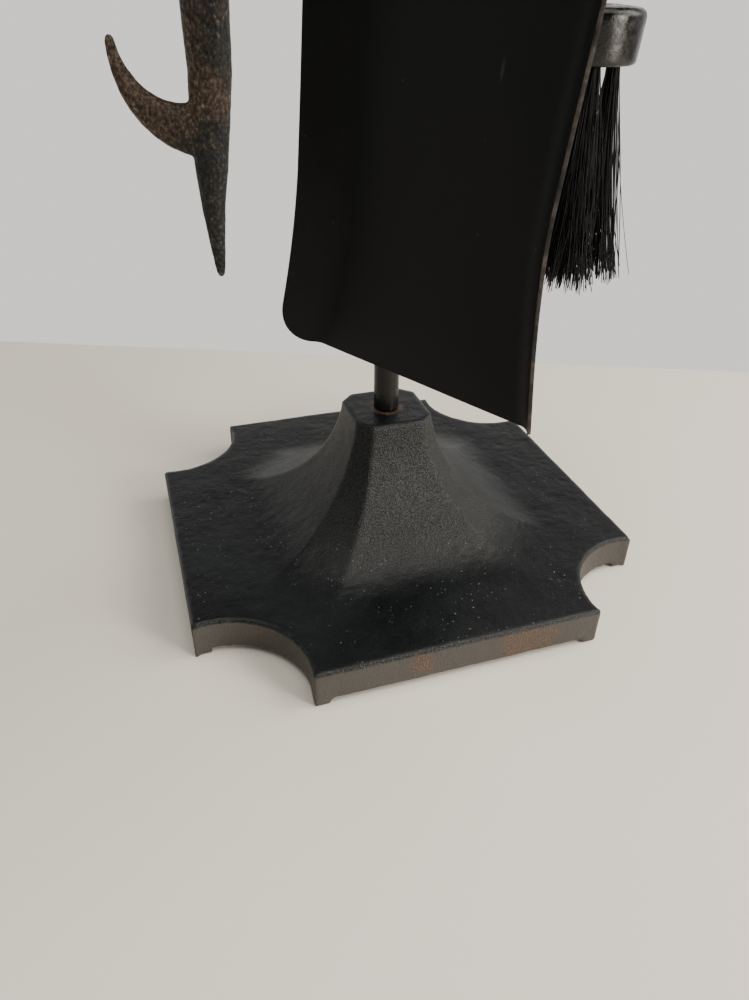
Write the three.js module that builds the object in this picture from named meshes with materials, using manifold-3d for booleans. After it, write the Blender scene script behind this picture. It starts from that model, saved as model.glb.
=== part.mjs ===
// Fireplace tool set, millimetres, +Z up.
// A cast iron stand carries a steel rod, a hub with four hook arms and a carry knob.
// A poker, a shovel and a brush each hang from a loose ring on one of the hooks.
import * as THREE from "three";
import { mergeVertices } from "three/addons/utils/BufferGeometryUtils.js";
import Module from "manifold-3d";

const wasm = await Module();
wasm.setup();

const GAP = 0.3; // clearance between pieces that touch
const CURVE_STEPS = 12;
const PAST = 1; // how far a cutting tool runs past what it cuts

// Stand casting
const BASE_SIDE = 230;
const PLATE_TOP = 19.3;
const FOOT_RISE = 2.3;
const FOOT_RADIUS = 8;
const EDGE_ROUND = 1.6;
const SCOOP_RADIUS = 38.6;
const SCOOP_INSET = 7.6;
const PEDESTAL_TOP = 79.5;
const PEDESTAL_HALF = 20;
const PEDESTAL_DRAFT = 0.12;
const PEDESTAL_FLARE = 50;
const PEDESTAL_STEPS = 32;
const RIDGE_SHARE = 0.66; // half length of a main face over its distance from the axis
const CASTING_WALL = 10;
const CORE_ROOF = 13.5;
const CORE_MOUTH_HALF = 34;
const CORE_STEPS = 6;

// Rod, nut and knob
const ROD_RADIUS = 6.35;
const STUD_RADIUS = 4.75;
const STUD_CLEARANCE = 0.3;
const WASHER_RADIUS = 11;
const WASHER_THICKNESS = 2.5;
const NUT_FLATS = 16;
const NUT_HEIGHT = 8;
const STUD_PAST_NUT = 5;

// Holder
const HOOK_SEAT_HEIGHT = 668;
const HOOK_REACH = 80;
const HOOK_BAR_RADIUS = 3.5;
const HOOK_ARM_RISE = 22;
const HOOK_TIP_RUN = 20;
const HOOK_TIP_RISE = 17;
const HOOK_TIP_BALL = 4.5;
const ARM_STRAIGHT = 4; // length of an arm that is straight outside the hub
// Points of an arm's middle line as shares of its reach and of its rise above the seat.
const ARM_BENDS = [
  [0.55, 0.95],
  [0.8, 0.41],
];
const HOLDER_TURN = -10; // degrees about the rod
const HUB_HALF = 19;
const HUB_BELOW_ARMS = 18;
const HUB_ABOVE_ARMS = 14;
const HUB_NECK_INSET = 6;
const HUB_NECK_HEIGHT = 10;
const HUB_CHAMFER = 3;
const ARM_SOCKET_DEPTH = 10.8;
const KNOB_HEIGHT = 42;
const KNOB_HALF = 16;
const KNOB_BORE_DEPTH = 20;
const KNOB_NECK_SHARE = 0.62;
const KNOB_FOOT = 3; // height and overhang of the knob's foot
const KNOB_FLARE_SHARE = 0.6;
const KNOB_CROWN = 7;
const KNOB_CHAMFER = 3;

// Hanging ring and eye
const RING_RADIUS = 16;
const RING_WIRE = 2;
const RING_GAP = 0.5;
const EYE_RADIUS = 8.5;
const EYE_WIRE = 2;
const EYE_GAP = 0.4;
const EYE_STEM_RADIUS = 2.5;
const EYE_STEM_DEPTH = 14;
const EYE_FLANGE_RADIUS = 5.5;
const EYE_FLANGE_HEIGHT = 2.4;

// Handle, collar and shaft
const HANDLE_LENGTH = 125;
const HANDLE_HALF = 7.6;
const HANDLE_FLARE = 5.4;
const HANDLE_BORE_DEPTH = 25;
const HANDLE_CAP = 6; // height of the cap above the grip
const HANDLE_CAP_OVERHANG = 1.6;
const HANDLE_CHAMFER = 1.5;
const HANDLE_FLARE_SHARE = 0.9;
const COLLAR_RADIUS = 8.5;
const COLLAR_HEIGHT = 5;
const SHAFT_RADIUS = 5;
const SOCKET_CLEARANCE = 0.3;

// Poker: heights above the floor while it hangs
const POKER_TIP_HEIGHT = 149.7;
const POKER_HEAD_TOP = 300;
const POKER_SOCKET_DEPTH = 22;
const POKER_HALF = 10;
const POKER_DEPTH_SHARE = 0.82;
const POKER_TIP_OFFSET = 6.9;
const POKER_STRAIGHT_RISE = 90; // above this height over the tip the middle line is straight
const POKER_SHOULDER = 15;
// Height above the tip, and half width as a share of the full half width.
const POKER_TAPER = [
  [0, 0.08],
  [1.5, 0.19],
  [4.5, 0.24],
  [16, 0.36],
  [30, 0.51],
  [47, 0.71],
  [64, 0.83],
  [82, 0.89],
  [105, 0.95],
];
const BARB_REACH = 30;
const BARB_DROP = 32.5;
const BARB_CENTRE_OUT = 8;
const BARB_CENTRE_RISE = 93.3; // above the poker's tip
const BARB_POINT = 1.8;
const BARB_ROOT_RADIUS = 11.2;
const BARB_TIP_RADIUS = 1.9;
const BARB_DEPTH_SHARE = 0.9;
const BARB_ROOT_DEPTH = 5.9;
const BARB_ROOT_INSET = 5.3;
const POKER_LEAN = -1.2; // degrees, foot of the tool towards the rod

// Brush
const BRUSH_HEAD_BOTTOM = 234;
const BRUSH_HEAD_HEIGHT = 20;
const BRUSH_HEAD_RADIUS = 22.5;
const BRUSH_HEAD_TAPER = 1.2;
const BRUSH_EDGE_ROUND = 3.5;
const BRUSH_LOWER_EDGE = 0.8;
const BRUSH_BOSS_WALL = 4;
const BRUSH_BOSS_HEIGHT = 1;
const BRUSH_SOCKET_DEPTH = 12;
const TUFT_COUNT = 5;
const TUFT_RING_RADIUS = 12.3;
const TUFT_RING_TURN = -18; // degrees from the hook arm to the first tuft
const TUFT_ROOT_RADIUS = 2.8;
const TUFT_ROOT_DEPTH = 5;
const TUFT_SPREAD = 8;
const TUFT_FLARE = 5;
const BRISTLE_LENGTH = 88;
const BRUSH_LEAN = 0;

// Shovel
const SHOVEL_TIP_HEIGHT = 136.6;
const SHOVEL_FACE_TURN = -53.3; // degrees from the hook arm to the way the pan faces
const SHOVEL_TIP_REACH = 9.6;
const SHOVEL_LEAN_SIDE = 0.62;
const PAN_TILT = 8;
const PAN_THICKNESS = 1.2;
const PAN_FLAT_LENGTH = 196;
const PAN_BACK_RADIUS = 30;
const PAN_BACK_TURN = 50;
const PAN_MOUTH_HALF = 53;
const PAN_WAIST_HALF = 45;
const PAN_BACK_HALF = 50;
const PAN_WALL = 18;
const PAN_WALL_TURN = 55;
const PAN_BEND_RADIUS = 11;
const PAN_CORNER = 15;
const PAN_LIP_SHARE = 0.16; // width of the walls at the mouth, of their full width
const PAN_BACK_INSET = 12; // how far the back end curves in on each side
const PAN_BACK_LENGTH = 26;
const PAN_BACK_WALL_LOSS = 0.6;
const TONGUE_WIDTH = 18;
const TONGUE_THICKNESS = 4;
const TONGUE_LENGTH = 62;
const RIVET_RADIUS = 2.6;
const RIVET_HEAD_RADIUS = 4.8;
const RIVET_HEAD_HEIGHT = 2.2;
const RIVET_SPACING = 26;
const RIVET_TO_BEND = 10;
const TONGUE_PAST_RIVET = 12;
const TONGUE_TO_ROD = 8; // length over which tongue and rod run into each other
// The rod's middle line: share of the way up from the tongue to the collar, and distance
// behind the handle's axis. It is straight inside the collar and the handle.
const SHOVEL_ROD_BENDS = [
  [0.324, 14],
  [0.614, 3],
  [0.8, 0],
  [1, 0],
];

const degrees = THREE.MathUtils.degToRad;
const SEAT_TO_RING = HOOK_BAR_RADIUS + RING_GAP - (RING_RADIUS - RING_WIRE);
const RING_CENTRE_HEIGHT = HOOK_SEAT_HEIGHT + SEAT_TO_RING;
const HINGE_HEIGHT = RING_CENTRE_HEIGHT - RING_RADIUS;
const EYE_CENTRE = -(EYE_RADIUS - EYE_WIRE - RING_WIRE - EYE_GAP);
const HANDLE_TOP = EYE_CENTRE - EYE_RADIUS - EYE_WIRE - EYE_FLANGE_HEIGHT;
const HANDLE_BOTTOM = HANDLE_TOP - HANDLE_LENGTH;
const SHAFT_TOP = HANDLE_BOTTOM + HANDLE_BORE_DEPTH - GAP;
const ARM_HEIGHT = HOOK_SEAT_HEIGHT + HOOK_ARM_RISE;
const HUB_BOTTOM = ARM_HEIGHT - HUB_BELOW_ARMS;
const HUB_TOP = ARM_HEIGHT + HUB_ABOVE_ARMS;

const finishes = {
  casting: finish(0x15181a, 0.55, 0.6),
  castingWorn: finish(0x332c28, 0.7, 0.7),
  steel: finish(0x121314, 0.4, 0.8),
  sheet: finish(0x0c0d0e, 0.5, 0.6),
  zinc: finish(0x8a8c8e, 0.45, 0.9),
  paintedWood: finish(0x17181a, 0.25, 0.1),
  bristle: finish(0x08090a, 0.6, 0.0),
};

function finish(color, roughness, metalness) {
  return new THREE.MeshStandardMaterial({ color, roughness, metalness });
}

function mesh(name, geometry, material) {
  const made = new THREE.Mesh(geometry, material.clone());
  made.name = name;
  return made;
}

// A closed geometry as a solid that can be joined and cut.
function solid(geometry) {
  const bare = new THREE.BufferGeometry();
  const source = geometry.index ? geometry.toNonIndexed() : geometry;
  bare.setAttribute("position", source.getAttribute("position"));
  const merged = mergeVertices(bare, 1e-4);
  return new wasm.Manifold(
    new wasm.Mesh({
      numProp: 3,
      vertProperties: new Float32Array(merged.attributes.position.array),
      triVerts: new Uint32Array(merged.index.array),
    }),
  );
}

function geometryOf(made) {
  const data = made.getMesh();
  const geometry = new THREE.BufferGeometry();
  geometry.setAttribute("position", new THREE.BufferAttribute(data.vertProperties, 3));
  geometry.setIndex(new THREE.BufferAttribute(data.triVerts, 1));
  return geometry;
}

const join = (...pieces) => geometryOf(pieces.map(solid).reduce((a, b) => a.add(b)));
const cut = (body, ...tools) => geometryOf(tools.map(solid).reduce((a, b) => a.subtract(b), solid(body)));

// A round bar or hole along Z from one height to another.
function bar(radius, from, to, sides = 28) {
  return new THREE.CylinderGeometry(radius, radius, to - from, sides)
    .rotateX(Math.PI / 2)
    .translate(0, 0, (from + to) / 2);
}

// A turned piece: [radius, height] pairs from the bottom up, both ends on the axis.
function turned(profile, sides = 32) {
  const points = profile.map(([radius, height]) => new THREE.Vector2(radius, height));
  return new THREE.LatheGeometry(points, sides).rotateX(Math.PI / 2);
}

// A closed skin over a row of sections, each a loop of the same number of points.
function loft(sections) {
  const count = sections[0].length;
  const points = sections.flat();
  const index = [];
  const first = points.push(middle(sections[0])) - 1;
  const last = points.push(middle(sections.at(-1))) - 1;
  for (let side = 0; side < count; side++) {
    const next = (side + 1) % count;
    index.push(first, next, side);
    index.push(last, last - 1 - count + side, last - 1 - count + next);
    for (let row = 0; row + 1 < sections.length; row++) {
      const low = row * count;
      const high = low + count;
      index.push(low + side, low + next, high + next);
      index.push(low + side, high + next, high + side);
    }
  }
  return new THREE.BufferGeometry().setFromPoints(points).setIndex(index);
}

function middle(section) {
  const sum = new THREE.Vector3();
  section.forEach((point) => sum.add(point));
  return sum.divideScalar(section.length);
}

// A square with cut-off corners, seen from above, counter-clockwise.
function chamferedSquare(half, height) {
  const ridge = half * RIDGE_SHARE;
  const corners = [];
  for (let quarter = 0; quarter < 4; quarter++) {
    for (const across of [-ridge, ridge]) {
      const corner = new THREE.Vector3(half, across, height);
      corners.push(corner.applyAxisAngle(new THREE.Vector3(0, 0, 1), (quarter * Math.PI) / 2));
    }
  }
  return corners;
}

// An ellipse about a centre, spanned by two half axes.
function ellipse(centre, alongX, alongY, sides = 16) {
  const loop = [];
  for (let side = 0; side < sides; side++) {
    const angle = (side / sides) * 2 * Math.PI;
    const point = centre.clone();
    point.addScaledVector(alongX, Math.cos(angle));
    point.addScaledVector(alongY, Math.sin(angle));
    loop.push(point);
  }
  return loop;
}

// ---- Stand ----

// Distance of the pedestal's main faces from the axis at a depth below its top.
function pedestalHalf(depth) {
  const full = PEDESTAL_TOP - PLATE_TOP;
  const share = Math.min(depth / full, 1);
  const straight = PEDESTAL_HALF + PEDESTAL_DRAFT * depth;
  return straight + pedestalFlare() * (1 - Math.sqrt(1 - share * share));
}

// The flare is a fillet between pedestal and plate, so it ends before the scoops.
function pedestalFlare() {
  const toScoop = (BASE_SIDE / 2 - SCOOP_INSET) * Math.SQRT2 - SCOOP_RADIUS;
  const room = (toScoop * Math.SQRT2) / (1 + RIDGE_SHARE) - EDGE_ROUND;
  const foot = PEDESTAL_HALF + PEDESTAL_DRAFT * (PEDESTAL_TOP - PLATE_TOP);
  return Math.min(PEDESTAL_FLARE, room - foot);
}

function plateOutline() {
  const half = BASE_SIDE / 2;
  const centre = half - SCOOP_INSET;
  const open = Math.asin(SCOOP_INSET / SCOOP_RADIUS);
  const outline = new THREE.Shape();
  for (let quarter = 0; quarter < 4; quarter++) {
    const turn = (quarter * Math.PI) / 2;
    const corner = new THREE.Vector2(centre, -centre).rotateAround(new THREE.Vector2(), turn);
    const from = turn + Math.PI + open;
    const to = turn + Math.PI / 2 - open;
    outline.absarc(corner.x, corner.y, SCOOP_RADIUS, from, to, true);
  }
  outline.closePath();
  return outline;
}

function plate() {
  return new THREE.ExtrudeGeometry(plateOutline(), {
    depth: PLATE_TOP - FOOT_RISE - 2 * EDGE_ROUND,
    bevelThickness: EDGE_ROUND,
    bevelSize: EDGE_ROUND,
    bevelOffset: -EDGE_ROUND,
    bevelSegments: 2,
    curveSegments: CURVE_STEPS,
  }).translate(0, 0, FOOT_RISE + EDGE_ROUND);
}

// The plate stands on the eight corners beside its scoops.
function feet() {
  const half = BASE_SIDE / 2;
  const along = half - SCOOP_INSET - Math.sqrt(SCOOP_RADIUS ** 2 - SCOOP_INSET ** 2);
  const slab = solid(new THREE.ExtrudeGeometry(plateOutline(), {
    depth: FOOT_RISE + EDGE_ROUND + PAST,
    bevelEnabled: false,
    curveSegments: CURVE_STEPS,
  }));
  const pads = [];
  for (const [x, y] of [[along, half], [half, along]]) {
    for (const [signX, signY] of [[1, 1], [1, -1], [-1, 1], [-1, -1]]) {
      const corner = bar(FOOT_RADIUS, -PAST, FOOT_RISE + EDGE_ROUND + 2 * PAST, 18);
      pads.push(geometryOf(solid(corner.translate(signX * x, signY * y, 0)).intersect(slab)));
    }
  }
  return pads;
}

function pedestal() {
  const full = PEDESTAL_TOP - PLATE_TOP;
  const sections = [chamferedSquare(pedestalHalf(full), PLATE_TOP - EDGE_ROUND - 2 * PAST)];
  for (let step = PEDESTAL_STEPS; step >= 0; step--) {
    const depth = full * Math.sin(((step / PEDESTAL_STEPS) * Math.PI) / 2);
    sections.push(chamferedSquare(pedestalHalf(depth), PEDESTAL_TOP - depth));
  }
  return loft(sections);
}

// The hollow under the pedestal that leaves room for the nut.
function core() {
  const roof = PEDESTAL_TOP - CORE_ROOF;
  const sections = [chamferedSquare(CORE_MOUTH_HALF, -PAST)];
  for (let step = 0; step <= CORE_STEPS; step++) {
    const height = PLATE_TOP + ((roof - PLATE_TOP) * step) / CORE_STEPS;
    const half = pedestalHalf(PEDESTAL_TOP - height) - CASTING_WALL;
    sections.push(chamferedSquare(Math.min(half, CORE_MOUTH_HALF), height));
  }
  return loft(sections);
}

function baseCasting() {
  const body = join(plate(), pedestal(), ...feet());
  const bore = bar(STUD_RADIUS + STUD_CLEARANCE, 0, PEDESTAL_TOP + PAST);
  return mesh("base_casting", cut(body, core(), bore), finishes.casting);
}

function baseWasher() {
  const top = PEDESTAL_TOP - CORE_ROOF - GAP;
  const disc = bar(WASHER_RADIUS, top - WASHER_THICKNESS, top);
  const hole = bar(STUD_RADIUS + STUD_CLEARANCE, top - WASHER_THICKNESS - PAST, top + PAST);
  return mesh("base_washer", cut(disc, hole), finishes.zinc);
}

function nutTop() {
  return PEDESTAL_TOP - CORE_ROOF - GAP - WASHER_THICKNESS - GAP;
}

function baseNut() {
  const bottom = nutTop() - NUT_HEIGHT;
  const block = bar(NUT_FLATS / Math.sqrt(3), bottom, nutTop(), 6);
  const hole = bar(STUD_RADIUS + STUD_CLEARANCE, bottom - PAST, nutTop() + PAST);
  return mesh("base_nut", cut(block, hole), finishes.zinc);
}

function standRod() {
  const bottom = nutTop() - NUT_HEIGHT - STUD_PAST_NUT;
  const top = HUB_TOP + GAP + KNOB_BORE_DEPTH - GAP;
  const profile = [
    [0, bottom],
    [STUD_RADIUS, bottom],
    [STUD_RADIUS, PEDESTAL_TOP + GAP],
    [ROD_RADIUS, PEDESTAL_TOP + GAP],
    [ROD_RADIUS, HUB_BOTTOM - GAP],
    [STUD_RADIUS, HUB_BOTTOM - GAP],
    [STUD_RADIUS, top],
    [0, top],
  ];
  return mesh("stand_rod", turned(profile), finishes.steel);
}

// ---- Holder ----

function holderHub() {
  const block = loft([
    chamferedSquare(HUB_HALF - HUB_NECK_INSET, HUB_BOTTOM),
    chamferedSquare(HUB_HALF - HUB_NECK_INSET * 0.75, HUB_BOTTOM + HUB_NECK_HEIGHT / 2),
    chamferedSquare(HUB_HALF, HUB_BOTTOM + HUB_NECK_HEIGHT),
    chamferedSquare(HUB_HALF, HUB_TOP - HUB_CHAMFER * 1.7),
    chamferedSquare(HUB_HALF - HUB_CHAMFER, HUB_TOP),
  ]);
  const bore = bar(STUD_RADIUS + STUD_CLEARANCE, HUB_BOTTOM - PAST, HUB_TOP + PAST);
  const inner = HUB_HALF - ARM_SOCKET_DEPTH;
  const sockets = [0, 90, 180, 270].map((turn) =>
    bar(HOOK_BAR_RADIUS + SOCKET_CLEARANCE, inner, HUB_HALF + PAST)
      .rotateY(Math.PI / 2)
      .translate(0, 0, ARM_HEIGHT)
      .rotateZ(degrees(turn)),
  );
  return mesh("holder_hub", cut(block, bore, ...sockets), finishes.casting);
}

// A bent round bar: straight out of the hub, down into the seat and up to a round tip.
function hookArm(name) {
  const start = HUB_HALF - ARM_SOCKET_DEPTH + GAP;
  const route = new THREE.CatmullRomCurve3([
    new THREE.Vector3(start, 0, HOOK_ARM_RISE),
    new THREE.Vector3(HUB_HALF + ARM_STRAIGHT, 0, HOOK_ARM_RISE),
    ...ARM_BENDS.map(([out, up]) => new THREE.Vector3(HOOK_REACH * out, 0, HOOK_ARM_RISE * up)),
    new THREE.Vector3(HOOK_REACH, 0, 0),
    new THREE.Vector3(HOOK_REACH + HOOK_TIP_RUN * 0.6, 0, HOOK_TIP_RISE * 0.4),
    new THREE.Vector3(HOOK_REACH + HOOK_TIP_RUN, 0, HOOK_TIP_RISE),
  ]);
  const section = new THREE.Shape();
  section.absarc(0, 0, HOOK_BAR_RADIUS, 0, 2 * Math.PI, false);
  const swept = new THREE.ExtrudeGeometry(section, {
    steps: 20,
    curveSegments: 5,
    bevelEnabled: false,
    extrudePath: route,
  });
  const end = route.getPoint(1);
  const tip = new THREE.SphereGeometry(HOOK_TIP_BALL, 12, 8).translate(end.x, end.y, end.z);
  return mesh(name, join(swept, tip), finishes.steel);
}

function carryKnob() {
  const bottom = HUB_TOP + GAP;
  const top = bottom + KNOB_HEIGHT;
  const steps = 12;
  const neck = KNOB_HALF * KNOB_NECK_SHARE;
  const flareHeight = KNOB_HEIGHT * KNOB_FLARE_SHARE - KNOB_FOOT;
  const sections = [chamferedSquare(neck + KNOB_FOOT * 0.7, bottom)];
  for (let step = 0; step <= steps; step++) {
    const turn = ((step / steps) * Math.PI) / 2;
    const height = bottom + KNOB_FOOT + flareHeight * Math.sin(turn);
    sections.push(chamferedSquare(neck + (KNOB_HALF - neck) * (1 - Math.cos(turn)), height));
  }
  sections.push(chamferedSquare(KNOB_HALF, top - KNOB_CROWN));
  sections.push(chamferedSquare(KNOB_HALF - KNOB_CHAMFER, top - KNOB_CROWN * 0.3));
  sections.push(chamferedSquare(KNOB_HALF / 2, top));
  const bore = bar(STUD_RADIUS + STUD_CLEARANCE, bottom - PAST, bottom + KNOB_BORE_DEPTH);
  return mesh("carry_knob", cut(loft(sections), bore), finishes.casting);
}

// ---- What every tool has ----

function hangingRing(tool) {
  const ring = new THREE.TorusGeometry(RING_RADIUS, RING_WIRE, 8, 28).rotateY(Math.PI / 2);
  const made = mesh(`${tool}_hanging_ring`, ring, finishes.steel);
  made.position.set(HOOK_REACH, 0, RING_CENTRE_HEIGHT);
  return made;
}

function hangingEye(tool) {
  const loop = new THREE.TorusGeometry(EYE_RADIUS, EYE_WIRE, 8, 20).rotateX(Math.PI / 2);
  loop.translate(0, 0, EYE_CENTRE);
  const seat = HANDLE_TOP + GAP;
  const flange = bar(EYE_FLANGE_RADIUS, seat, seat + EYE_FLANGE_HEIGHT, 20);
  const stem = bar(EYE_STEM_RADIUS, seat - EYE_STEM_DEPTH, HANDLE_TOP + EYE_FLANGE_HEIGHT, 16);
  return mesh(`${tool}_hanging_eye`, join(loop, flange, stem), finishes.steel);
}

// The grip narrows below its cap and flares out towards the shaft, like the stand.
function handle(tool) {
  const steps = 16;
  const gripTop = HANDLE_TOP - HANDLE_CAP;
  const flareLength = HANDLE_LENGTH * HANDLE_FLARE_SHARE;
  const foot = HANDLE_HALF + HANDLE_FLARE;
  const sections = [chamferedSquare(foot - HANDLE_CHAMFER, HANDLE_BOTTOM)];
  sections.push(chamferedSquare(foot, HANDLE_BOTTOM + HANDLE_CHAMFER));
  for (let step = steps; step >= 0; step--) {
    const share = Math.sin(((step / steps) * Math.PI) / 2);
    const half = HANDLE_HALF + HANDLE_FLARE * (1 - Math.sqrt(1 - share * share));
    sections.push(chamferedSquare(half, gripTop - flareLength * share));
  }
  sections.push(chamferedSquare(HANDLE_HALF + HANDLE_CAP_OVERHANG, gripTop + HANDLE_CAP / 3));
  sections.push(chamferedSquare(HANDLE_HALF, HANDLE_TOP));
  const shaftHole = SHAFT_RADIUS + SOCKET_CLEARANCE;
  const stemHole = EYE_STEM_RADIUS + SOCKET_CLEARANCE;
  const low = bar(shaftHole, HANDLE_BOTTOM - PAST, HANDLE_BOTTOM + HANDLE_BORE_DEPTH);
  const high = bar(stemHole, HANDLE_TOP - EYE_STEM_DEPTH, HANDLE_TOP + PAST, 16);
  return mesh(`${tool}_handle`, cut(loft(sections), low, high), finishes.casting);
}

function collar(tool) {
  const top = HANDLE_BOTTOM - GAP;
  const ring = bar(COLLAR_RADIUS, top - COLLAR_HEIGHT, top);
  const hole = bar(SHAFT_RADIUS + SOCKET_CLEARANCE, top - COLLAR_HEIGHT - PAST, top + PAST);
  return mesh(`${tool}_collar`, cut(ring, hole), finishes.steel);
}

function straightShaft(tool, bottom) {
  return mesh(`${tool}_shaft`, bar(SHAFT_RADIUS, bottom, SHAFT_TOP), finishes.steel);
}

// ---- Poker: z is measured from the hinge, x points away from the rod ----

function pokerHead() {
  const tip = POKER_TIP_HEIGHT - HINGE_HEIGHT;
  const top = POKER_HEAD_TOP - HINGE_HEIGHT;
  const sections = POKER_TAPER.map(([rise, share]) => {
    const straight = Math.min(rise / POKER_STRAIGHT_RISE, 1);
    const offset = POKER_TIP_OFFSET * Math.min(1, 0.1 + Math.cos((straight * Math.PI) / 2));
    return pokerSection(tip + rise, share * POKER_HALF, offset);
  });
  sections.push(pokerSection(top - POKER_SHOULDER, POKER_HALF, 0));
  sections.push(pokerSection(top, POKER_HALF, 0));
  const socket = bar(SHAFT_RADIUS + SOCKET_CLEARANCE, top - POKER_SOCKET_DEPTH, top + PAST);
  return mesh("poker_head", cut(join(loft(sections), barb()), socket), finishes.castingWorn);
}

function pokerSection(height, half, offset) {
  const wide = new THREE.Vector3(half, 0, 0);
  const deep = new THREE.Vector3(0, half * POKER_DEPTH_SHARE, 0);
  return ellipse(new THREE.Vector3(offset, 0, height), wide, deep);
}

// A quarter ring that tapers from inside the shank to a blunt point.
function barb() {
  const steps = 9;
  const centreHeight = POKER_TIP_HEIGHT + BARB_CENTRE_RISE - HINGE_HEIGHT;
  const sections = [];
  const addSection = (angle, inward, past, radius) => {
    const outward = new THREE.Vector3(Math.cos(angle), 0, Math.sin(angle));
    const centre = new THREE.Vector3(BARB_CENTRE_OUT - inward, 0, centreHeight + past);
    centre.add(outward.clone().multiply(new THREE.Vector3(BARB_REACH, 0, BARB_DROP)));
    const deep = new THREE.Vector3(0, Math.min(radius * BARB_DEPTH_SHARE, BARB_ROOT_DEPTH), 0);
    sections.push(ellipse(centre, outward.multiplyScalar(radius), deep, 14));
  };
  addSection(-Math.PI / 2, BARB_ROOT_INSET, 0, BARB_ROOT_RADIUS - 2);
  for (let step = 0; step <= steps; step++) {
    const share = step / steps;
    const radius = BARB_TIP_RADIUS + (BARB_ROOT_RADIUS - BARB_TIP_RADIUS) * (1 - share) ** 1.25;
    addSection((share - 1) * (Math.PI / 2), 0, 0, radius);
  }
  addSection(0, 0, BARB_POINT * 0.6, BARB_TIP_RADIUS * 0.75);
  addSection(0, 0, BARB_POINT, BARB_TIP_RADIUS * 0.3);
  return loft(sections);
}

function poker() {
  const group = new THREE.Group();
  const bottom = POKER_HEAD_TOP - POKER_SOCKET_DEPTH + GAP - HINGE_HEIGHT;
  group.add(handle("poker"), collar("poker"), straightShaft("poker", bottom), pokerHead());
  group.add(hangingEye("poker"));
  group.rotation.y = degrees(-POKER_LEAN);
  return group;
}

// ---- Brush ----

function brushHead() {
  const bottom = BRUSH_HEAD_BOTTOM - HINGE_HEIGHT;
  const top = bottom + BRUSH_HEAD_HEIGHT;
  const lowRadius = BRUSH_HEAD_RADIUS - BRUSH_HEAD_TAPER;
  const profile = [
    [0, bottom],
    [lowRadius - BRUSH_LOWER_EDGE, bottom],
    [lowRadius, bottom + BRUSH_LOWER_EDGE],
  ];
  const steps = 6;
  for (let step = 0; step <= steps; step++) {
    const turn = ((step / steps) * Math.PI) / 2;
    const radius = BRUSH_HEAD_RADIUS - BRUSH_EDGE_ROUND * (1 - Math.cos(turn));
    profile.push([radius, top - BRUSH_EDGE_ROUND * (1 - Math.sin(turn))]);
  }
  const bossTop = top + BRUSH_BOSS_HEIGHT;
  profile.push([SHAFT_RADIUS + BRUSH_BOSS_WALL, bossTop], [0, bossTop]);
  const socket = bar(SHAFT_RADIUS + SOCKET_CLEARANCE, bossTop - BRUSH_SOCKET_DEPTH, bossTop + PAST);
  const holeRadius = TUFT_ROOT_RADIUS + SOCKET_CLEARANCE;
  const holes = tuftPlaces().map(([x, y]) =>
    bar(holeRadius, bottom - PAST, bottom + TUFT_ROOT_DEPTH, 18).translate(x, y, 0),
  );
  return mesh("brush_head", cut(turned(profile, 72), socket, ...holes), finishes.paintedWood);
}

function tuftPlaces() {
  const places = [[0, 0]];
  for (let tuft = 0; tuft < TUFT_COUNT; tuft++) {
    const angle = degrees(TUFT_RING_TURN) + (tuft / TUFT_COUNT) * 2 * Math.PI;
    places.push([TUFT_RING_RADIUS * Math.cos(angle), TUFT_RING_RADIUS * Math.sin(angle)]);
  }
  return places;
}

function tuft(name, x, y) {
  const bottom = BRUSH_HEAD_BOTTOM - HINGE_HEIGHT;
  const outward = new THREE.Vector3(x, y, 0).normalize();
  const steps = 6;
  const sections = [];
  for (let step = steps; step >= 0; step--) {
    const share = (step / steps) ** 1.2;
    const centre = new THREE.Vector3(x, y, bottom - (BRISTLE_LENGTH * step) / steps);
    centre.addScaledVector(outward, TUFT_SPREAD * share);
    sections.push(disc(centre, TUFT_ROOT_RADIUS + TUFT_FLARE * share));
  }
  sections.push(disc(new THREE.Vector3(x, y, bottom + TUFT_ROOT_DEPTH - GAP), TUFT_ROOT_RADIUS));
  return mesh(name, loft(sections), finishes.bristle);
}

function disc(centre, radius, sides = 16) {
  return ellipse(centre, new THREE.Vector3(radius, 0, 0), new THREE.Vector3(0, radius, 0), sides);
}

function brush() {
  const group = new THREE.Group();
  const bossTop = BRUSH_HEAD_BOTTOM + BRUSH_HEAD_HEIGHT + BRUSH_BOSS_HEIGHT;
  const socketFloor = bossTop - BRUSH_SOCKET_DEPTH;
  const bottom = socketFloor + GAP - HINGE_HEIGHT;
  group.add(handle("brush"), collar("brush"), straightShaft("brush", bottom), brushHead());
  tuftPlaces().forEach(([x, y], place) => {
    group.add(tuft(place ? `bristle_tuft_${place}` : "bristle_tuft_centre", x, y));
  });
  group.add(hangingEye("brush"));
  group.rotation.y = degrees(-BRUSH_LEAN);
  return group;
}

// ---- Shovel: x is the way the pan faces, y runs across it ----

// Half width of the flat and width of the side walls at a distance up from the mouth.
function panWidths(up) {
  const waistAt = PAN_FLAT_LENGTH / 3;
  const narrowing = Math.min(up / waistAt, 1);
  const widening = Math.max(up - waistAt, 0) / (PAN_FLAT_LENGTH - waistAt);
  const back = Math.max(up - PAN_FLAT_LENGTH, 0) / PAN_BACK_LENGTH;
  const half =
    PAN_WAIST_HALF +
    (PAN_MOUTH_HALF - PAN_WAIST_HALF) * (1 - Math.sin((narrowing * Math.PI) / 2)) +
    (PAN_BACK_HALF - PAN_WAIST_HALF) * Math.min(widening, 1) -
    PAN_BACK_INSET * back * back;
  const corner = Math.min(up / PAN_CORNER, 1);
  const rounded = PAN_LIP_SHARE + (1 - PAN_LIP_SHARE) * Math.sqrt(corner * (2 - corner));
  return [half, PAN_WALL * rounded * (1 - PAN_BACK_WALL_LOSS * back)];
}

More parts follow.
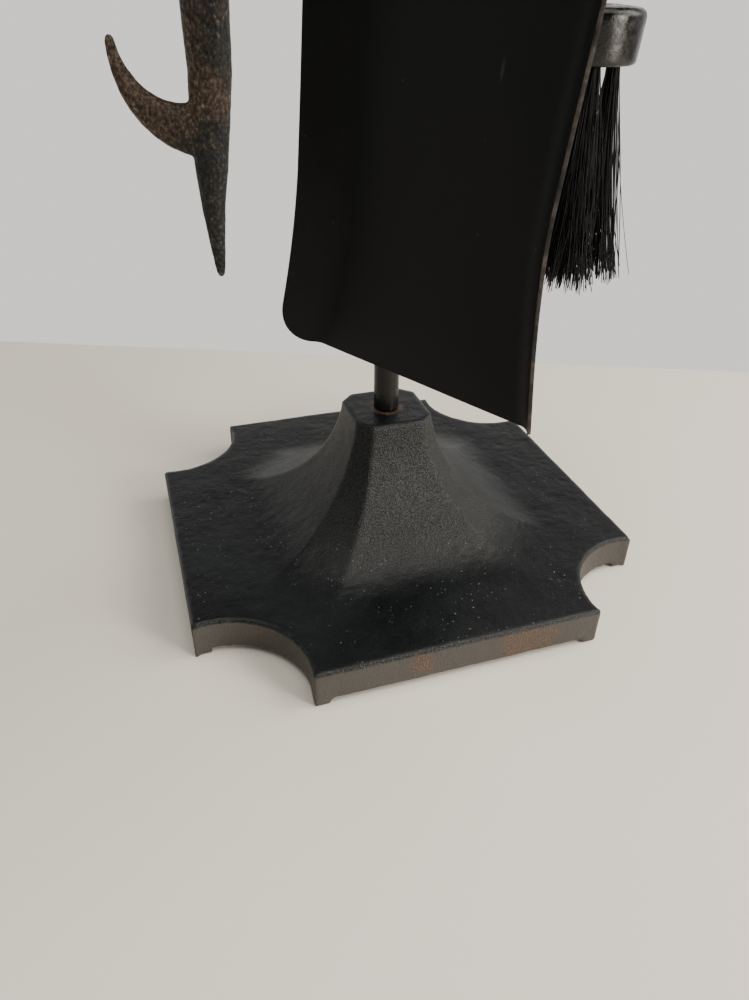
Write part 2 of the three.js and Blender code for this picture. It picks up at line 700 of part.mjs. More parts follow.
// Point of the pan's middle line, and the way up along it, at a distance up from the mouth.
function panLine(up) {
  const tilt = degrees(PAN_TILT);
  const turn = Math.max(up - PAN_FLAT_LENGTH, 0) / PAN_BACK_RADIUS;
  const flat = Math.min(up, PAN_FLAT_LENGTH);
  const along = flat + PAN_BACK_RADIUS * Math.sin(turn);
  const forward = PAN_BACK_RADIUS * (1 - Math.cos(turn));
  const alongWay = new THREE.Vector3(-Math.sin(tilt), 0, Math.cos(tilt));
  const faceWay = new THREE.Vector3(Math.cos(tilt), 0, Math.sin(tilt));
  const point = new THREE.Vector3(SHOVEL_TIP_REACH, 0, SHOVEL_TIP_HEIGHT - HINGE_HEIGHT);
  point.addScaledVector(alongWay, along).addScaledVector(faceWay, forward);
  const face = faceWay.multiplyScalar(Math.cos(turn)).addScaledVector(alongWay, -Math.sin(turn));
  return [point, face];
}

// One cross-section of the pan: [across, rise, facing angle] from rim to rim.
function panProfile(up) {
  const [half, wall] = panWidths(up);
  const turn = degrees(PAN_WALL_TURN);
  const radius = Math.min(PAN_BEND_RADIUS, (0.8 * wall) / Math.tan(turn / 2));
  const start = half - radius * Math.tan(turn / 2);
  const rest = wall - radius * Math.tan(turn / 2);
  const right = [[start / 2, 0, 0]];
  const steps = 4;
  for (let step = 0; step <= steps; step++) {
    const angle = (turn * step) / steps;
    right.push([start + radius * Math.sin(angle), radius * (1 - Math.cos(angle)), angle]);
  }
  const [across, rise] = right.at(-1);
  right.push([across + rest * Math.cos(turn), rise + rest * Math.sin(turn), turn]);
  const left = right.map(([x, z, angle]) => [-x, z, -angle]).reverse();
  return [...left, [0, 0, 0], ...right];
}

// Distances up from the mouth: close together round the corners, then along the flat and the curl.
function panStations() {
  const stations = [];
  for (let step = 0; step < 5; step++) {
    stations.push(PAN_CORNER * (step / 5) ** 1.4);
  }
  for (let step = 0; step < 9; step++) {
    stations.push(PAN_CORNER + ((PAN_FLAT_LENGTH - PAN_CORNER) * step) / 9);
  }
  for (let step = 0; step <= 4; step++) {
    stations.push(PAN_FLAT_LENGTH + (degrees(PAN_BACK_TURN) * PAN_BACK_RADIUS * step) / 4);
  }
  return stations;
}

// The whole sheet: the face side and, a thickness behind it, the back, closed round the rim.
function panSheet() {
  const face = [];
  const back = [];
  for (const up of panStations()) {
    const [point, facing] = panLine(up);
    const across = new THREE.Vector3(0, 1, 0);
    const row = panProfile(up).map(([x, rise, angle]) => {
      const at = point.clone().addScaledVector(across, x).addScaledVector(facing, rise);
      const normal = facing.clone().multiplyScalar(Math.cos(angle));
      normal.addScaledVector(across, -Math.sin(angle));
      return [at, at.clone().addScaledVector(normal, -PAN_THICKNESS)];
    });
    face.push(row.map(([at]) => at));
    back.push(row.map(([, behind]) => behind));
  }
  // Every section is a closed loop: along the face, then home along the back.
  return loft(face.map((row, station) => [...row, ...back[station].reverse()]));
}

function rivetPlaces() {
  const high = PAN_FLAT_LENGTH - RIVET_TO_BEND;
  return [high - RIVET_SPACING, high];
}

// A bar square to the pan, through a point of its middle line.
function acrossPan(up, radius, from, to, sides = 16) {
  const [point] = panLine(up);
  return bar(radius, from, to, sides)
    .rotateY(Math.PI / 2 - degrees(PAN_TILT))
    .translate(point.x, point.y, point.z);
}

function shovelPan() {
  const radius = RIVET_RADIUS + SOCKET_CLEARANCE;
  const holes = rivetPlaces().map((up) => acrossPan(up, radius, -PAN_THICKNESS - PAST, PAST));
  return mesh("shovel_pan", cut(panSheet(), ...holes), finishes.sheet);
}

// The round shaft ends in a flat tongue that lies along the back of the pan.
function shovelShaft() {
  const tilt = degrees(PAN_TILT);
  const behind = -(PAN_THICKNESS + GAP + TONGUE_THICKNESS / 2);
  const tongueBack = behind - TONGUE_THICKNESS / 2;
  const [lowest] = rivetPlaces();
  const tongueFrom = lowest - TONGUE_PAST_RIVET;
  const tongueMiddle = tongueFrom + TONGUE_LENGTH / 2;
  const place = (up) => {
    const [point] = panLine(0);
    point.add(new THREE.Vector3(-Math.sin(tilt), 0, Math.cos(tilt)).multiplyScalar(up));
    return point.add(new THREE.Vector3(Math.cos(tilt), 0, Math.sin(tilt)).multiplyScalar(behind));
  };
  const tongue = new THREE.BoxGeometry(TONGUE_THICKNESS, TONGUE_WIDTH, TONGUE_LENGTH);
  tongue.rotateY(-tilt).translate(...place(tongueMiddle));
  const tongueEnd = tongueFrom + TONGUE_LENGTH;
  const bendStart = place(tongueEnd - TONGUE_TO_ROD).add(new THREE.Vector3(PAST - SHAFT_RADIUS, 0, 0));
  const offTongue = place(tongueEnd + TONGUE_TO_ROD).add(new THREE.Vector3(-SHAFT_RADIUS, 0, 0));
  const rise = HANDLE_BOTTOM - COLLAR_HEIGHT - GAP - offTongue.z;
  const route = new THREE.CatmullRomCurve3([
    bendStart,
    offTongue,
    ...SHOVEL_ROD_BENDS.map(([share, behindAxis]) =>
      new THREE.Vector3(-behindAxis, 0, offTongue.z + rise * share),
    ),
    new THREE.Vector3(0, 0, SHAFT_TOP),
  ]);
  const section = new THREE.Shape();
  section.absarc(0, 0, SHAFT_RADIUS, 0, 2 * Math.PI, false);
  const rod = new THREE.ExtrudeGeometry(section, {
    steps: 24,
    curveSegments: 7,
    bevelEnabled: false,
    extrudePath: route,
  });
  const radius = RIVET_RADIUS + SOCKET_CLEARANCE;
  const holes = rivetPlaces().map((up) => acrossPan(up, radius, tongueBack - PAST, PAST));
  return mesh("shovel_shaft", cut(join(tongue, rod), ...holes), finishes.steel);
}

function rivet(name, up) {
  const back = -(PAN_THICKNESS + GAP + TONGUE_THICKNESS + GAP);
  const shank = acrossPan(up, RIVET_RADIUS, back - RIVET_HEAD_HEIGHT / 2, GAP + RIVET_HEAD_HEIGHT / 2);
  const front = acrossPan(up, RIVET_HEAD_RADIUS, GAP, GAP + RIVET_HEAD_HEIGHT);
  const rear = acrossPan(up, RIVET_HEAD_RADIUS, back - RIVET_HEAD_HEIGHT, back);
  return mesh(name, join(shank, front, rear), finishes.steel);
}

function shovel() {
  const group = new THREE.Group();
  const turned = new THREE.Group();
  turned.add(handle("shovel"), collar("shovel"), shovelShaft(), shovelPan());
  const [low, high] = rivetPlaces();
  turned.add(rivet("pan_rivet_lower", low), rivet("pan_rivet_upper", high));
  turned.rotation.z = degrees(SHOVEL_FACE_TURN);
  const faceWay = new THREE.Vector3(1, 0, 0).applyEuler(turned.rotation);
  group.quaternion.setFromAxisAngle(faceWay, degrees(SHOVEL_LEAN_SIDE));
  group.add(turned, hangingEye("shovel"));
  return group;
}

// ---- Assembly ----

function hung(tool, group, turn) {
  const place = new THREE.Group();
  group.position.set(HOOK_REACH, 0, HINGE_HEIGHT);
  place.add(hangingRing(tool), group);
  place.rotation.z = degrees(turn);
  return place;
}

function stand() {
  const group = new THREE.Group();
  group.add(baseCasting(), baseWasher(), baseNut(), standRod(), carryKnob());
  const holder = new THREE.Group();
  holder.add(holderHub());
  ["right", "back", "left", "front"].forEach((side, quarter) => {
    const arm = hookArm(`hook_arm_${side}`);
    arm.position.z = HOOK_SEAT_HEIGHT;
    arm.rotation.z = (quarter * Math.PI) / 2;
    holder.add(arm);
  });
  holder.rotation.z = degrees(HOLDER_TURN);
  group.add(holder);
  return group;
}

const toolSet = new THREE.Group();
toolSet.add(stand());
toolSet.add(hung("brush", brush(), HOLDER_TURN));
toolSet.add(hung("poker", poker(), HOLDER_TURN + 180));
toolSet.add(hung("shovel", shovel(), HOLDER_TURN - 90));

// The frame's origin is the middle of the whole set's footprint, on the floor.
const reach = new THREE.Box3().setFromObject(toolSet, true);
const footprint = reach.getCenter(new THREE.Vector3());
toolSet.position.set(-footprint.x, -footprint.y, 0);

const part = new THREE.Group();
part.add(toolSet);
export default part;
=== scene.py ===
import math

import bmesh
import bpy
import numpy as np
from mathutils import Matrix, Vector, noise


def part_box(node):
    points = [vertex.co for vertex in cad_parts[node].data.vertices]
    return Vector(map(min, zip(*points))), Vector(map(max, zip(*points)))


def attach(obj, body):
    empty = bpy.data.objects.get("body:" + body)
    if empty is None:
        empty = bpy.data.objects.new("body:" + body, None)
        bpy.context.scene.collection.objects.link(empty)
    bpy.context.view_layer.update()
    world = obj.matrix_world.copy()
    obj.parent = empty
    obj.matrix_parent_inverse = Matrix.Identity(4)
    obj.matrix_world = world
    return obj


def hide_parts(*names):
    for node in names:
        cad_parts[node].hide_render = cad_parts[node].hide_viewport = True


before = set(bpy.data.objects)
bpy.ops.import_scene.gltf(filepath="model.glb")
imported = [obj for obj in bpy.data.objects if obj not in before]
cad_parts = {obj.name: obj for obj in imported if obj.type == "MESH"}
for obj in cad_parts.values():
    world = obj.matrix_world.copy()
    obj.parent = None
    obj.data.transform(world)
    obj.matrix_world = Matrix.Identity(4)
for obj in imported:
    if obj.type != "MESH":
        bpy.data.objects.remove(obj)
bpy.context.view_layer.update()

# ---- Table, wall, light and camera ----
# A pale table top in front of a white wall, lit by soft daylight from the right.
# None of this is part of the object.

rod_low, rod_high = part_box("stand_rod")
axis = (rod_low + rod_high) / 2
axis.z = 0


def linear(colour):
    """An sRGB colour such as "1d2022" as the linear values that a shader takes."""
    shares = [int(colour[at:at + 2], 16) / 255 for at in (0, 2, 4)]
    values = [s / 12.92 if s < 0.04045 else ((s + 0.055) / 1.055) ** 2.4 for s in shares]
    return (*values, 1.0)


def add(tree, kind, settings=None, links=None, stops=None):
    """Adds a node with its settings and input values, its incoming links and its colour stops.

    A link comes from an output, or from a node, which stands for its first output.
    """
    made = tree.nodes.new(kind)
    for name, value in (settings or {}).items():
        if isinstance(name, str) and hasattr(made, name):
            setattr(made, name, value)
        else:
            made.inputs[name].default_value = value
    for name, source in (links or {}).items():
        output = source.outputs[0] if isinstance(source, bpy.types.Node) else source
        tree.links.new(output, made.inputs[name])
    if stops:
        elements = made.color_ramp.elements
        while len(elements) < len(stops):
            elements.new(0.5)
        for element, (place, colour) in zip(elements, stops):
            element.position = place
            element.color = linear(colour)
    return made


def new_material(name):
    """An empty node material, its tree, and the object's own coordinates for its patterns."""
    material = bpy.data.materials.new(name)
    material.use_nodes = True
    tree = material.node_tree
    tree.nodes.clear()
    return material, tree, add(tree, "ShaderNodeTexCoord").outputs["Object"]


def surface(tree, values, links):
    """The shader of a material: what is the same all over as values, and what varies as links."""
    shader = add(tree, "ShaderNodeBsdfPrincipled", values, links)
    add(tree, "ShaderNodeOutputMaterial", {}, {"Surface": shader})


# A laminate table top: plain, with hardly any texture.
table_material, tree, place = new_material("table_laminate")
cloud = add(tree, "ShaderNodeTexNoise", {"Scale": 3.0, "Detail": 2.0}, {"Vector": place})
tone = add(tree, "ShaderNodeValToRGB", {}, {0: cloud}, [(0.3, "e9e4d8"), (0.7, "eeeade")])
surface(tree, {"Roughness": 0.55, "Specular IOR Level": 0.3}, {"Base Color": tone})

# The table ends at the wall, which runs askew behind the set.
wall_from = axis + Vector((-2.75, 1.394, 0))
wall_to = axis + Vector((3.25, -1.069, 0))
front = Vector((-0.8, -2.4, 0))
table_mesh = bpy.data.meshes.new("table")
table_mesh.from_pydata([wall_from, wall_from + front, wall_to + front, wall_to], [], [(0, 1, 2, 3)])
table_mesh.materials.append(table_material)
table = bpy.data.objects.new("table", table_mesh)
bpy.context.collection.objects.link(table)


def soft_light(name, place, target, size, watts, colour):
    """A square area light that looks at a point."""
    lamp = bpy.data.lights.new(name, "AREA")
    lamp.shape = "RECTANGLE"
    lamp.size, lamp.size_y = size
    lamp.energy = watts
    lamp.color = linear(colour)[:3]
    light = bpy.data.objects.new(name, lamp)
    light.location = place
    light.rotation_euler = (target - Vector(place)).to_track_quat("-Z", "Y").to_euler()
    bpy.context.collection.objects.link(light)


middle = axis + Vector((0, 0, 0.1))
soft_light("window", axis + Vector((1.2, -0.35, 1.1)), middle, (1.1, 1.1), 22, "fff6ea")
soft_light("room_front", axis + Vector((1.05, -1.35, 0.5)), middle, (0.45, 0.9), 34, "fff8ee")
soft_light("ceiling", axis + Vector((0.0, -0.3, 1.9)), middle, (1.6, 1.6), 24, "fffaf2")

world = bpy.data.worlds.new("white_wall")
bpy.context.scene.world = world
world.use_nodes = True
tree = world.node_tree
tree.nodes.clear()
# Bright along the horizon, where the wall is, and dim overhead.
way = add(tree, "ShaderNodeTexCoord").outputs["Generated"]
parts = add(tree, "ShaderNodeSeparateXYZ", {}, {0: way}).outputs
glow = add(tree, "ShaderNodeValToRGB", {}, {0: parts["Z"]},
           [(0.0, "f2f0ec"), (0.26, "e8e7e4"), (0.58, "1c1c1f")])
# Mirrored in the object, the room in front is far dimmer than the wall behind.
seen_in = add(tree, "ShaderNodeLightPath").outputs["Is Glossy Ray"]
brightness, dimmed = 1.15, 0.25
mirrored = add(tree, "ShaderNodeMapRange",
               {"From Min": -0.2, "From Max": 0.5, "To Min": dimmed, "To Max": brightness},
               {"Value": parts["Y"]})
strength = add(tree, "ShaderNodeMix", {"data_type": "FLOAT", 2: brightness}, {0: seen_in, 3: mirrored})
sky = add(tree, "ShaderNodeBackground", {}, {"Color": glow, "Strength": strength})
add(tree, "ShaderNodeOutputWorld", {}, {"Surface": sky})

# The camera looks down on the stand from close by, so the tools reach out of its view.
eye = axis + Vector((-0.1147, -0.3336, 0.2603))
yaw, pitch, roll = math.radians(18.10), math.radians(34.18), math.radians(0.65)
ahead = Vector((math.sin(yaw) * math.cos(pitch), math.cos(yaw) * math.cos(pitch), -math.sin(pitch)))
level = Vector((math.cos(yaw), -math.sin(yaw), 0))
upward = level.cross(ahead)
right = math.cos(roll) * level + math.sin(roll) * upward
upright = math.cos(roll) * upward - math.sin(roll) * level
lens = bpy.data.cameras.new("camera")
lens.lens = 27.33
lens.clip_start = 0.01
camera = bpy.data.objects.new("camera", lens)
turned = Matrix((right, upright, -ahead)).transposed().to_4x4()
camera.matrix_world = Matrix.Translation(eye) @ turned
bpy.context.collection.objects.link(camera)
bpy.context.scene.camera = camera


# ---- Stand casting ----
# One grey iron sand casting: a square plate with scooped corners that runs up into a four-ridged
# pedestal. It is brushed with satin black paint, which has worn to dull grey on the sides, and it
# stands on the small corners beside its scoops.

def per_mm(size):
    """The scale of a texture whose features are this many millimetres across."""
    return 1000 / size


def softened(node, name, voxel, passes, lump=0.0, lump_size=0.01):
    """A fine copy of a CAD solid with its edges rounded and its faces slightly uneven.

    Each pass rounds the edges a little more. A lump's height and its width set the unevenness.
    Where an edge was rounded off, the attribute "edge" is high, for wear to show there.
    """
    merging = 1e-6
    wear_gain = 2.5
    lump_roughness, lump_spacing, lump_layers = 0.7, 2.0, 3
    shell = bmesh.new()
    shell.from_mesh(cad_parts[node].data)
    bmesh.ops.remove_doubles(shell, verts=shell.verts, dist=merging)
    rough = bpy.data.meshes.new(name + "_rough")
    shell.to_mesh(rough)
    shell.free()
    holder = bpy.data.objects.new(name + "_rough", rough)
    bpy.context.collection.objects.link(holder)
    remesh = holder.modifiers.new("fine", "REMESH")
    remesh.mode = "VOXEL"
    remesh.voxel_size = voxel
    ready = holder.evaluated_get(bpy.context.evaluated_depsgraph_get())
    mesh = bpy.data.meshes.new_from_object(ready)
    mesh.name = name
    bpy.data.objects.remove(holder)
    bpy.data.meshes.remove(rough)

    count = len(mesh.vertices)
    points = np.empty(count * 3)
    mesh.vertices.foreach_get("co", points)
    points = points.reshape(-1, 3)
    ends = np.empty(len(mesh.edges) * 2, int)
    mesh.edges.foreach_get("vertices", ends)
    ends = ends.reshape(-1, 2)
    neighbours = np.zeros(count)
    np.add.at(neighbours, ends.ravel(), 1)
    neighbours = np.maximum(neighbours, 1)[:, None]

    def averaged(values):
        total = np.zeros_like(values)
        for column in range(values.shape[1]):
            total[:, column] += np.bincount(ends[:, 0], values[ends[:, 1], column], count)
            total[:, column] += np.bincount(ends[:, 1], values[ends[:, 0], column], count)
        return total / neighbours

    normals = np.empty(count * 3)
    mesh.vertices.foreach_get("normal", normals)
    normals = normals.reshape(-1, 3)
    smooth = points.copy()
    for _ in range(passes):
        smooth = (smooth + averaged(smooth)) / 2
    edge = np.einsum("ij,ij->i", points - smooth, normals)[:, None]
    for _ in range(2):
        edge = (edge + averaged(edge)) / 2
    uneven = np.array([noise.fractal(Vector(point) / lump_size, lump_roughness, lump_spacing, lump_layers)
                       for point in smooth])
    smooth += normals * (uneven * lump)[:, None]
    mesh.vertices.foreach_set("co", smooth.ravel())
    wear = mesh.attributes.new("edge", "FLOAT", "POINT")
    wear.data.foreach_set("value", np.clip(edge[:, 0] / voxel * wear_gain, 0, 1).astype(np.float32))
    mesh.shade_smooth()
    mesh.update()
    piece = bpy.data.objects.new(name, mesh)
    bpy.context.collection.objects.link(piece)
    return piece


def fitted(piece, material, slot, body, *nodes):
    """Gives a finished piece its material and its body, and hides the CAD nodes it stands for. The slot is
    not used.
    """
    piece.data.materials.clear()
    piece.data.materials.append(material)
    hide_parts(*nodes)
    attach(piece, body)


def painted_casting(name, paint, sand, wall_top, rust_spots, rust_ring):
    """Satin black brushing paint over sand-cast iron.

    It gives a grainy sheen from the sand, grey wear where edges rub, dull bare-looking side faces,
    pale household dust on what faces up, and brown rust where the paint has gone. The paint is a
    dark and a light tone for the faces, then the same for the side walls, which end at wall_top.
    The sand's grain is in millimetres. A rust spot is a place on a side wall and its reach, and the
    rust ring is its centre, the rod's radius and the height above which it shows.
    """
    face_dark, face_light, wall_dark, wall_light = paint
    material, tree, place = new_material(name)
    facing = add(tree, "ShaderNodeNewGeometry").outputs["Normal"]
    height = add(tree, "ShaderNodeSeparateXYZ", {}, {0: facing}).outputs["Z"]
    grain = add(tree, "ShaderNodeTexNoise", {"Scale": per_mm(sand), "Detail": 3.0, "Roughness": 0.6},
                {"Vector": place})
    pits = add(tree, "ShaderNodeTexNoise", {"Scale": per_mm(4.5), "Detail": 4.0}, {"Vector": place})
    cloud = add(tree, "ShaderNodeTexNoise", {"Scale": per_mm(38), "Detail": 5.0, "Roughness": 0.6},
                {"Vector": place})

    # The side walls kept their skin of sand: greyer and rougher than the rubbed top.
    side = add(tree, "ShaderNodeMapRange", {"From Min": 0.35, "From Max": 0.12}, {"Value": height})
    rise = add(tree, "ShaderNodeSeparateXYZ", {}, {0: place}).outputs["Z"]
    low = add(tree, "ShaderNodeMapRange", {"From Min": wall_top + 0.0008, "From Max": wall_top - 0.0004},
              {"Value": rise})
    side = add(tree, "ShaderNodeMath", {"operation": "MULTIPLY"}, {0: side, 1: low})
    shade = add(tree, "ShaderNodeValToRGB", {}, {0: cloud}, [(0.32, face_dark), (0.68, face_light)])
    blotch = add(tree, "ShaderNodeMath", {"operation": "MULTIPLY_ADD", 1: 0.6}, {0: pits})
    blotch = add(tree, "ShaderNodeMath", {"operation": "MULTIPLY_ADD", 1: 0.4}, {0: grain, 2: blotch})
    flank = add(tree, "ShaderNodeValToRGB", {}, {0: blotch}, [(0.42, wall_dark), (0.6, wall_light)])
    coat = add(tree, "ShaderNodeMix", {"data_type": "RGBA"}, {0: side, 6: shade, 7: flank}).outputs[2]

    # Edges rubbed to a dull grey, broken up by the grain.
    edge = add(tree, "ShaderNodeAttribute", {"attribute_name": "edge"}).outputs["Fac"]
    rubbed = add(tree, "ShaderNodeMath", {"operation": "MULTIPLY"}, {0: edge, 1: cloud})
    rubbed = add(tree, "ShaderNodeMapRange", {"From Min": 0.2, "From Max": 0.6, "To Max": 0.6},
                 {"Value": rubbed})
    coat = add(tree, "ShaderNodeMix", {"data_type": "RGBA", 7: linear("3b3a38")},
               {0: rubbed, 6: coat}).outputs[2]

    # Dust: flecks half a millimetre across on whatever faces up, thicker in some places.
    bent = add(tree, "ShaderNodeTexNoise", {"Scale": per_mm(2.5)}, {"Vector": place})
    bent = add(tree, "ShaderNodeVectorMath", {"operation": "SCALE", "Scale": 0.0022},
               {0: bent.outputs["Color"]})
    bent = add(tree, "ShaderNodeVectorMath", {"operation": "ADD"}, {0: place, 1: bent})
    fleck = add(tree, "ShaderNodeTexVoronoi", {"Scale": per_mm(2.9)}, {"Vector": bent})
    fleck = add(tree, "ShaderNodeMapRange", {"From Min": 0.12, "From Max": 0.06},
                {"Value": fleck.outputs["Distance"]})
    drift = add(tree, "ShaderNodeTexNoise", {"Scale": per_mm(26), "Detail": 3.0}, {"Vector": place})
    drift = add(tree, "ShaderNodeMapRange", {"From Min": 0.42, "From Max": 0.6, "To Max": 0.8},
                {"Value": drift})
    level = add(tree, "ShaderNodeMapRange", {"From Min": 0.75, "From Max": 0.95}, {"Value": height})
    dust = add(tree, "ShaderNodeMath", {"operation": "MULTIPLY"}, {0: fleck, 1: drift})
    dust = add(tree, "ShaderNodeMath", {"operation": "MULTIPLY"}, {0: dust, 1: level})
    coat = add(tree, "ShaderNodeMix", {"data_type": "RGBA", 7: linear("8e918f")},
               {0: dust, 6: coat}).outputs[2]

    # Rust: patches at the given places, and a ring where the rod stands in the casting.
    if rust_spots:
        patchy = add(tree, "ShaderNodeTexNoise", {"Scale": per_mm(7), "Detail": 6.0, "Roughness": 0.7},
                     {"Vector": place})
        amount = None
        for spot, reach in rust_spots:
            near = add(tree, "ShaderNodeVectorMath", {"operation": "DISTANCE", 1: spot}, {0: place})
            near = add(tree, "ShaderNodeMapRange", {"From Min": reach, "From Max": reach * 0.3},
                       {"Value": near.outputs["Value"]})
            if amount is not None:
                near = add(tree, "ShaderNodeMath", {"operation": "MAXIMUM"}, {0: amount, 1: near})
            amount = near
        amount = add(tree, "ShaderNodeMath", {"operation": "MULTIPLY"}, {0: amount, 1: side})
        centre, radius, bottom = rust_ring
        flat = add(tree, "ShaderNodeVectorMath", {"operation": "MULTIPLY", 1: (1, 1, 0)}, {0: place})
        near = add(tree, "ShaderNodeVectorMath", {"operation": "DISTANCE", 1: centre}, {0: flat})
        near = add(tree, "ShaderNodeMapRange", {"From Min": radius * 2.1, "From Max": radius * 1.1},
                   {"Value": near.outputs["Value"]})
        high = add(tree, "ShaderNodeMath", {"operation": "GREATER_THAN", 1: bottom}, {0: rise})
        ring = add(tree, "ShaderNodeMath", {"operation": "MULTIPLY"}, {0: near, 1: high})
        amount = add(tree, "ShaderNodeMath", {"operation": "MAXIMUM"}, {0: amount, 1: ring})
        rust = add(tree, "ShaderNodeMath", {"operation": "MULTIPLY"}, {0: amount, 1: patchy})
        rust = add(tree, "ShaderNodeMapRange", {"From Min": 0.3, "From Max": 0.5, "To Max": 0.6},
                   {"Value": rust})
        brown = add(tree, "ShaderNodeValToRGB", {}, {0: grain},
                    [(0.4, "2c221d"), (0.52, "5a4336"), (0.62, "7d6450")])
        coat = add(tree, "ShaderNodeMix", {"data_type": "RGBA"}, {0: rust, 6: coat, 7: brown}).outputs[2]

    dull = add(tree, "ShaderNodeMapRange", {"From Min": 0.3, "From Max": 0.7, "To Min": 0.3, "To Max": 0.44},
               {"Value": cloud})
    dull = add(tree, "ShaderNodeMath", {"operation": "MULTIPLY_ADD", 1: 0.22}, {0: side, 2: dull})
    # On steep faces the sand shows as a speckled sheen, and what faces up is rubbed smooth.
    steep = add(tree, "ShaderNodeMapRange", {"From Min": 0.97, "From Max": 0.75}, {"Value": height})
    speckle = add(tree, "ShaderNodeMapRange",
                  {"From Min": 0.4, "From Max": 0.62, "To Min": 0.2, "To Max": 0.52}, {"Value": grain})
    glint = add(tree, "ShaderNodeMix", {"data_type": "FLOAT", 2: 0.42}, {0: steep, 3: speckle})
    glint = add(tree, "ShaderNodeMix", {"data_type": "FLOAT", 3: 0.2}, {0: side, 2: glint})
    sandy = add(tree, "ShaderNodeMapRange", {"To Min": 0.35, "To Max": 1.2}, {"Value": steep})
    sandy = add(tree, "ShaderNodeMath", {"operation": "MULTIPLY"}, {0: grain, 1: sandy})
    relief = add(tree, "ShaderNodeMath", {"operation": "MULTIPLY_ADD", 1: 0.7}, {0: pits, 2: sandy})
    bump = add(tree, "ShaderNodeBump", {"Strength": 1.0, "Distance": 0.00045}, {"Height": relief})
    surface(tree, {}, {"Base Color": coat, "Roughness": dull, "Specular IOR Level": glint, "Normal": bump})
    return material


plate_low, plate_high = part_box("base_casting")
rod_radius = (rod_high.x - rod_low.x) / 2
half_side = (plate_high.x - plate_low.x) / 2
plate_wall_top = 0.0193
front_wall = axis + Vector((0, -half_side, 0.009))
left_of_scoop = axis + Vector((-0.094, -half_side + 0.030, 0.011))
stand_material = painted_casting(
    "black_paint_on_sand_cast_iron", ("080b0c", "101416", "141312", "474440"), 0.75, plate_wall_top,
    [(front_wall + Vector((0.032, 0, 0)), 0.030), (front_wall + Vector((-0.020, 0, 0.002)), 0.012),
     (left_of_scoop, 0.024)],
    (axis, rod_radius, plate_high.z - 0.004))
base = softened("base_casting", "stand_base", voxel=0.00125, passes=1, lump=0.00016, lump_size=0.014)
fitted(base, stand_material, "stand_casting", "stand", "base_casting")


# ---- Rod, nut and washer ----
# Half-inch mild steel bar, turned down and threaded at both ends, brushed with the same black
# paint. A zinc-plated nut and washer hold it in the hollow under the pedestal.

def blackened_steel(name, dark, light):
    """Drawn steel bar under thin black paint: smooth, with faint scuffs and a soft sheen."""
    material, tree, place = new_material(name)
    along = add(tree, "ShaderNodeMapping", {"Scale": (1.0, 1.0, 0.12)}, {"Vector": place})
    drawn = add(tree, "ShaderNodeTexNoise", {"Scale": per_mm(1.6), "Detail": 3.0}, {"Vector": along})
    scuffs = add(tree, "ShaderNodeTexNoise", {"Scale": per_mm(9), "Detail": 5.0, "Roughness": 0.65},
                 {"Vector": place})
    tone = add(tree, "ShaderNodeValToRGB", {}, {0: scuffs}, [(0.35, dark), (0.75, light)])
    dull = add(tree, "ShaderNodeMapRange", {"From Min": 0.3, "From Max": 0.7, "To Min": 0.2, "To Max": 0.36},
               {"Value": scuffs})
    bump = add(tree, "ShaderNodeBump", {"Strength": 0.4, "Distance": 0.00006}, {"Height": drawn})
    surface(tree, {"Specular IOR Level": 0.27}, {"Base Color": tone, "Roughness": dull, "Normal": bump})
    return material


steel_material = blackened_steel("black_painted_steel_bar", "08090a", "131313")


def spun(name, profile, place, sides=96):
    """A solid of revolution about an upright axis from (radius, height) pairs, first and last on it."""
    shell = bmesh.new()
    rings = []
    for radius, height in profile:
        ring = []
        for side in range(sides if radius else 1):
            angle = 2 * math.pi * side / sides
            spot = Vector((radius * math.cos(angle), radius * math.sin(angle), height))
            ring.append(shell.verts.new(place + spot))
        rings.append(ring)
    for low, high in zip(rings, rings[1:]):
        for side in range(sides):
            after = (side + 1) % sides
            corners = [low[side % len(low)], low[after % len(low)]]
            corners += [high[after % len(high)], high[side % len(high)]]
            shell.faces.new(list(dict.fromkeys(corners)))
    bmesh.ops.recalc_face_normals(shell, faces=shell.faces)
    mesh = bpy.data.meshes.new(name)
    shell.to_mesh(mesh)
    shell.free()
    mesh.shade_smooth()
    mesh.set_sharp_from_angle(angle=math.radians(40))
    piece = bpy.data.objects.new(name, mesh)
    bpy.context.collection.objects.link(piece)
    return piece


# The clearances below the hub and above the casting are the same.
stud = 0.00475
chamfer = 0.0005
gap = 0.0003
rod_steps = 40
foot = plate_high.z + gap
body_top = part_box("holder_hub")[0].z - gap
rod_profile = [(0, rod_low.z), (stud - chamfer, rod_low.z), (stud, rod_low.z + chamfer)]
rod_profile += [(stud, foot), (rod_radius - chamfer, foot), (rod_radius, foot + chamfer)]
rod_profile += [(rod_radius, foot + (body_top - foot) * step / rod_steps) for step in range(1, rod_steps)]
rod_profile += [(rod_radius, body_top - chamfer), (rod_radius - chamfer, body_top), (stud, body_top)]
rod_profile += [(stud, rod_high.z - chamfer), (stud - chamfer, rod_high.z), (0, rod_high.z)]
rod = spun("stand_rod_bar", rod_profile, axis)
fitted(rod, steel_material, "black_steel", "stand", "stand_rod")

# Zinc plate on the nut and washer: pale grey, slightly mottled where it has dulled.
zinc_material, tree, place = new_material("dulled_zinc_plate")
bloom = add(tree, "ShaderNodeTexNoise", {"Scale": per_mm(2.5), "Detail": 4.0}, {"Vector": place})
tone = add(tree, "ShaderNodeValToRGB", {}, {0: bloom}, [(0.3, "8b8c8c"), (0.7, "b4b4b1")])
dull = add(tree, "ShaderNodeMapRange", {"To Min": 0.35, "To Max": 0.6}, {"Value": bloom})
surface(tree, {"Metallic": 1.0}, {"Base Color": tone, "Roughness": dull})
for fastener in ("base_washer", "base_nut"):
    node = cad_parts[fastener]
    node.data.materials.clear()
    node.data.materials.append(zinc_material)


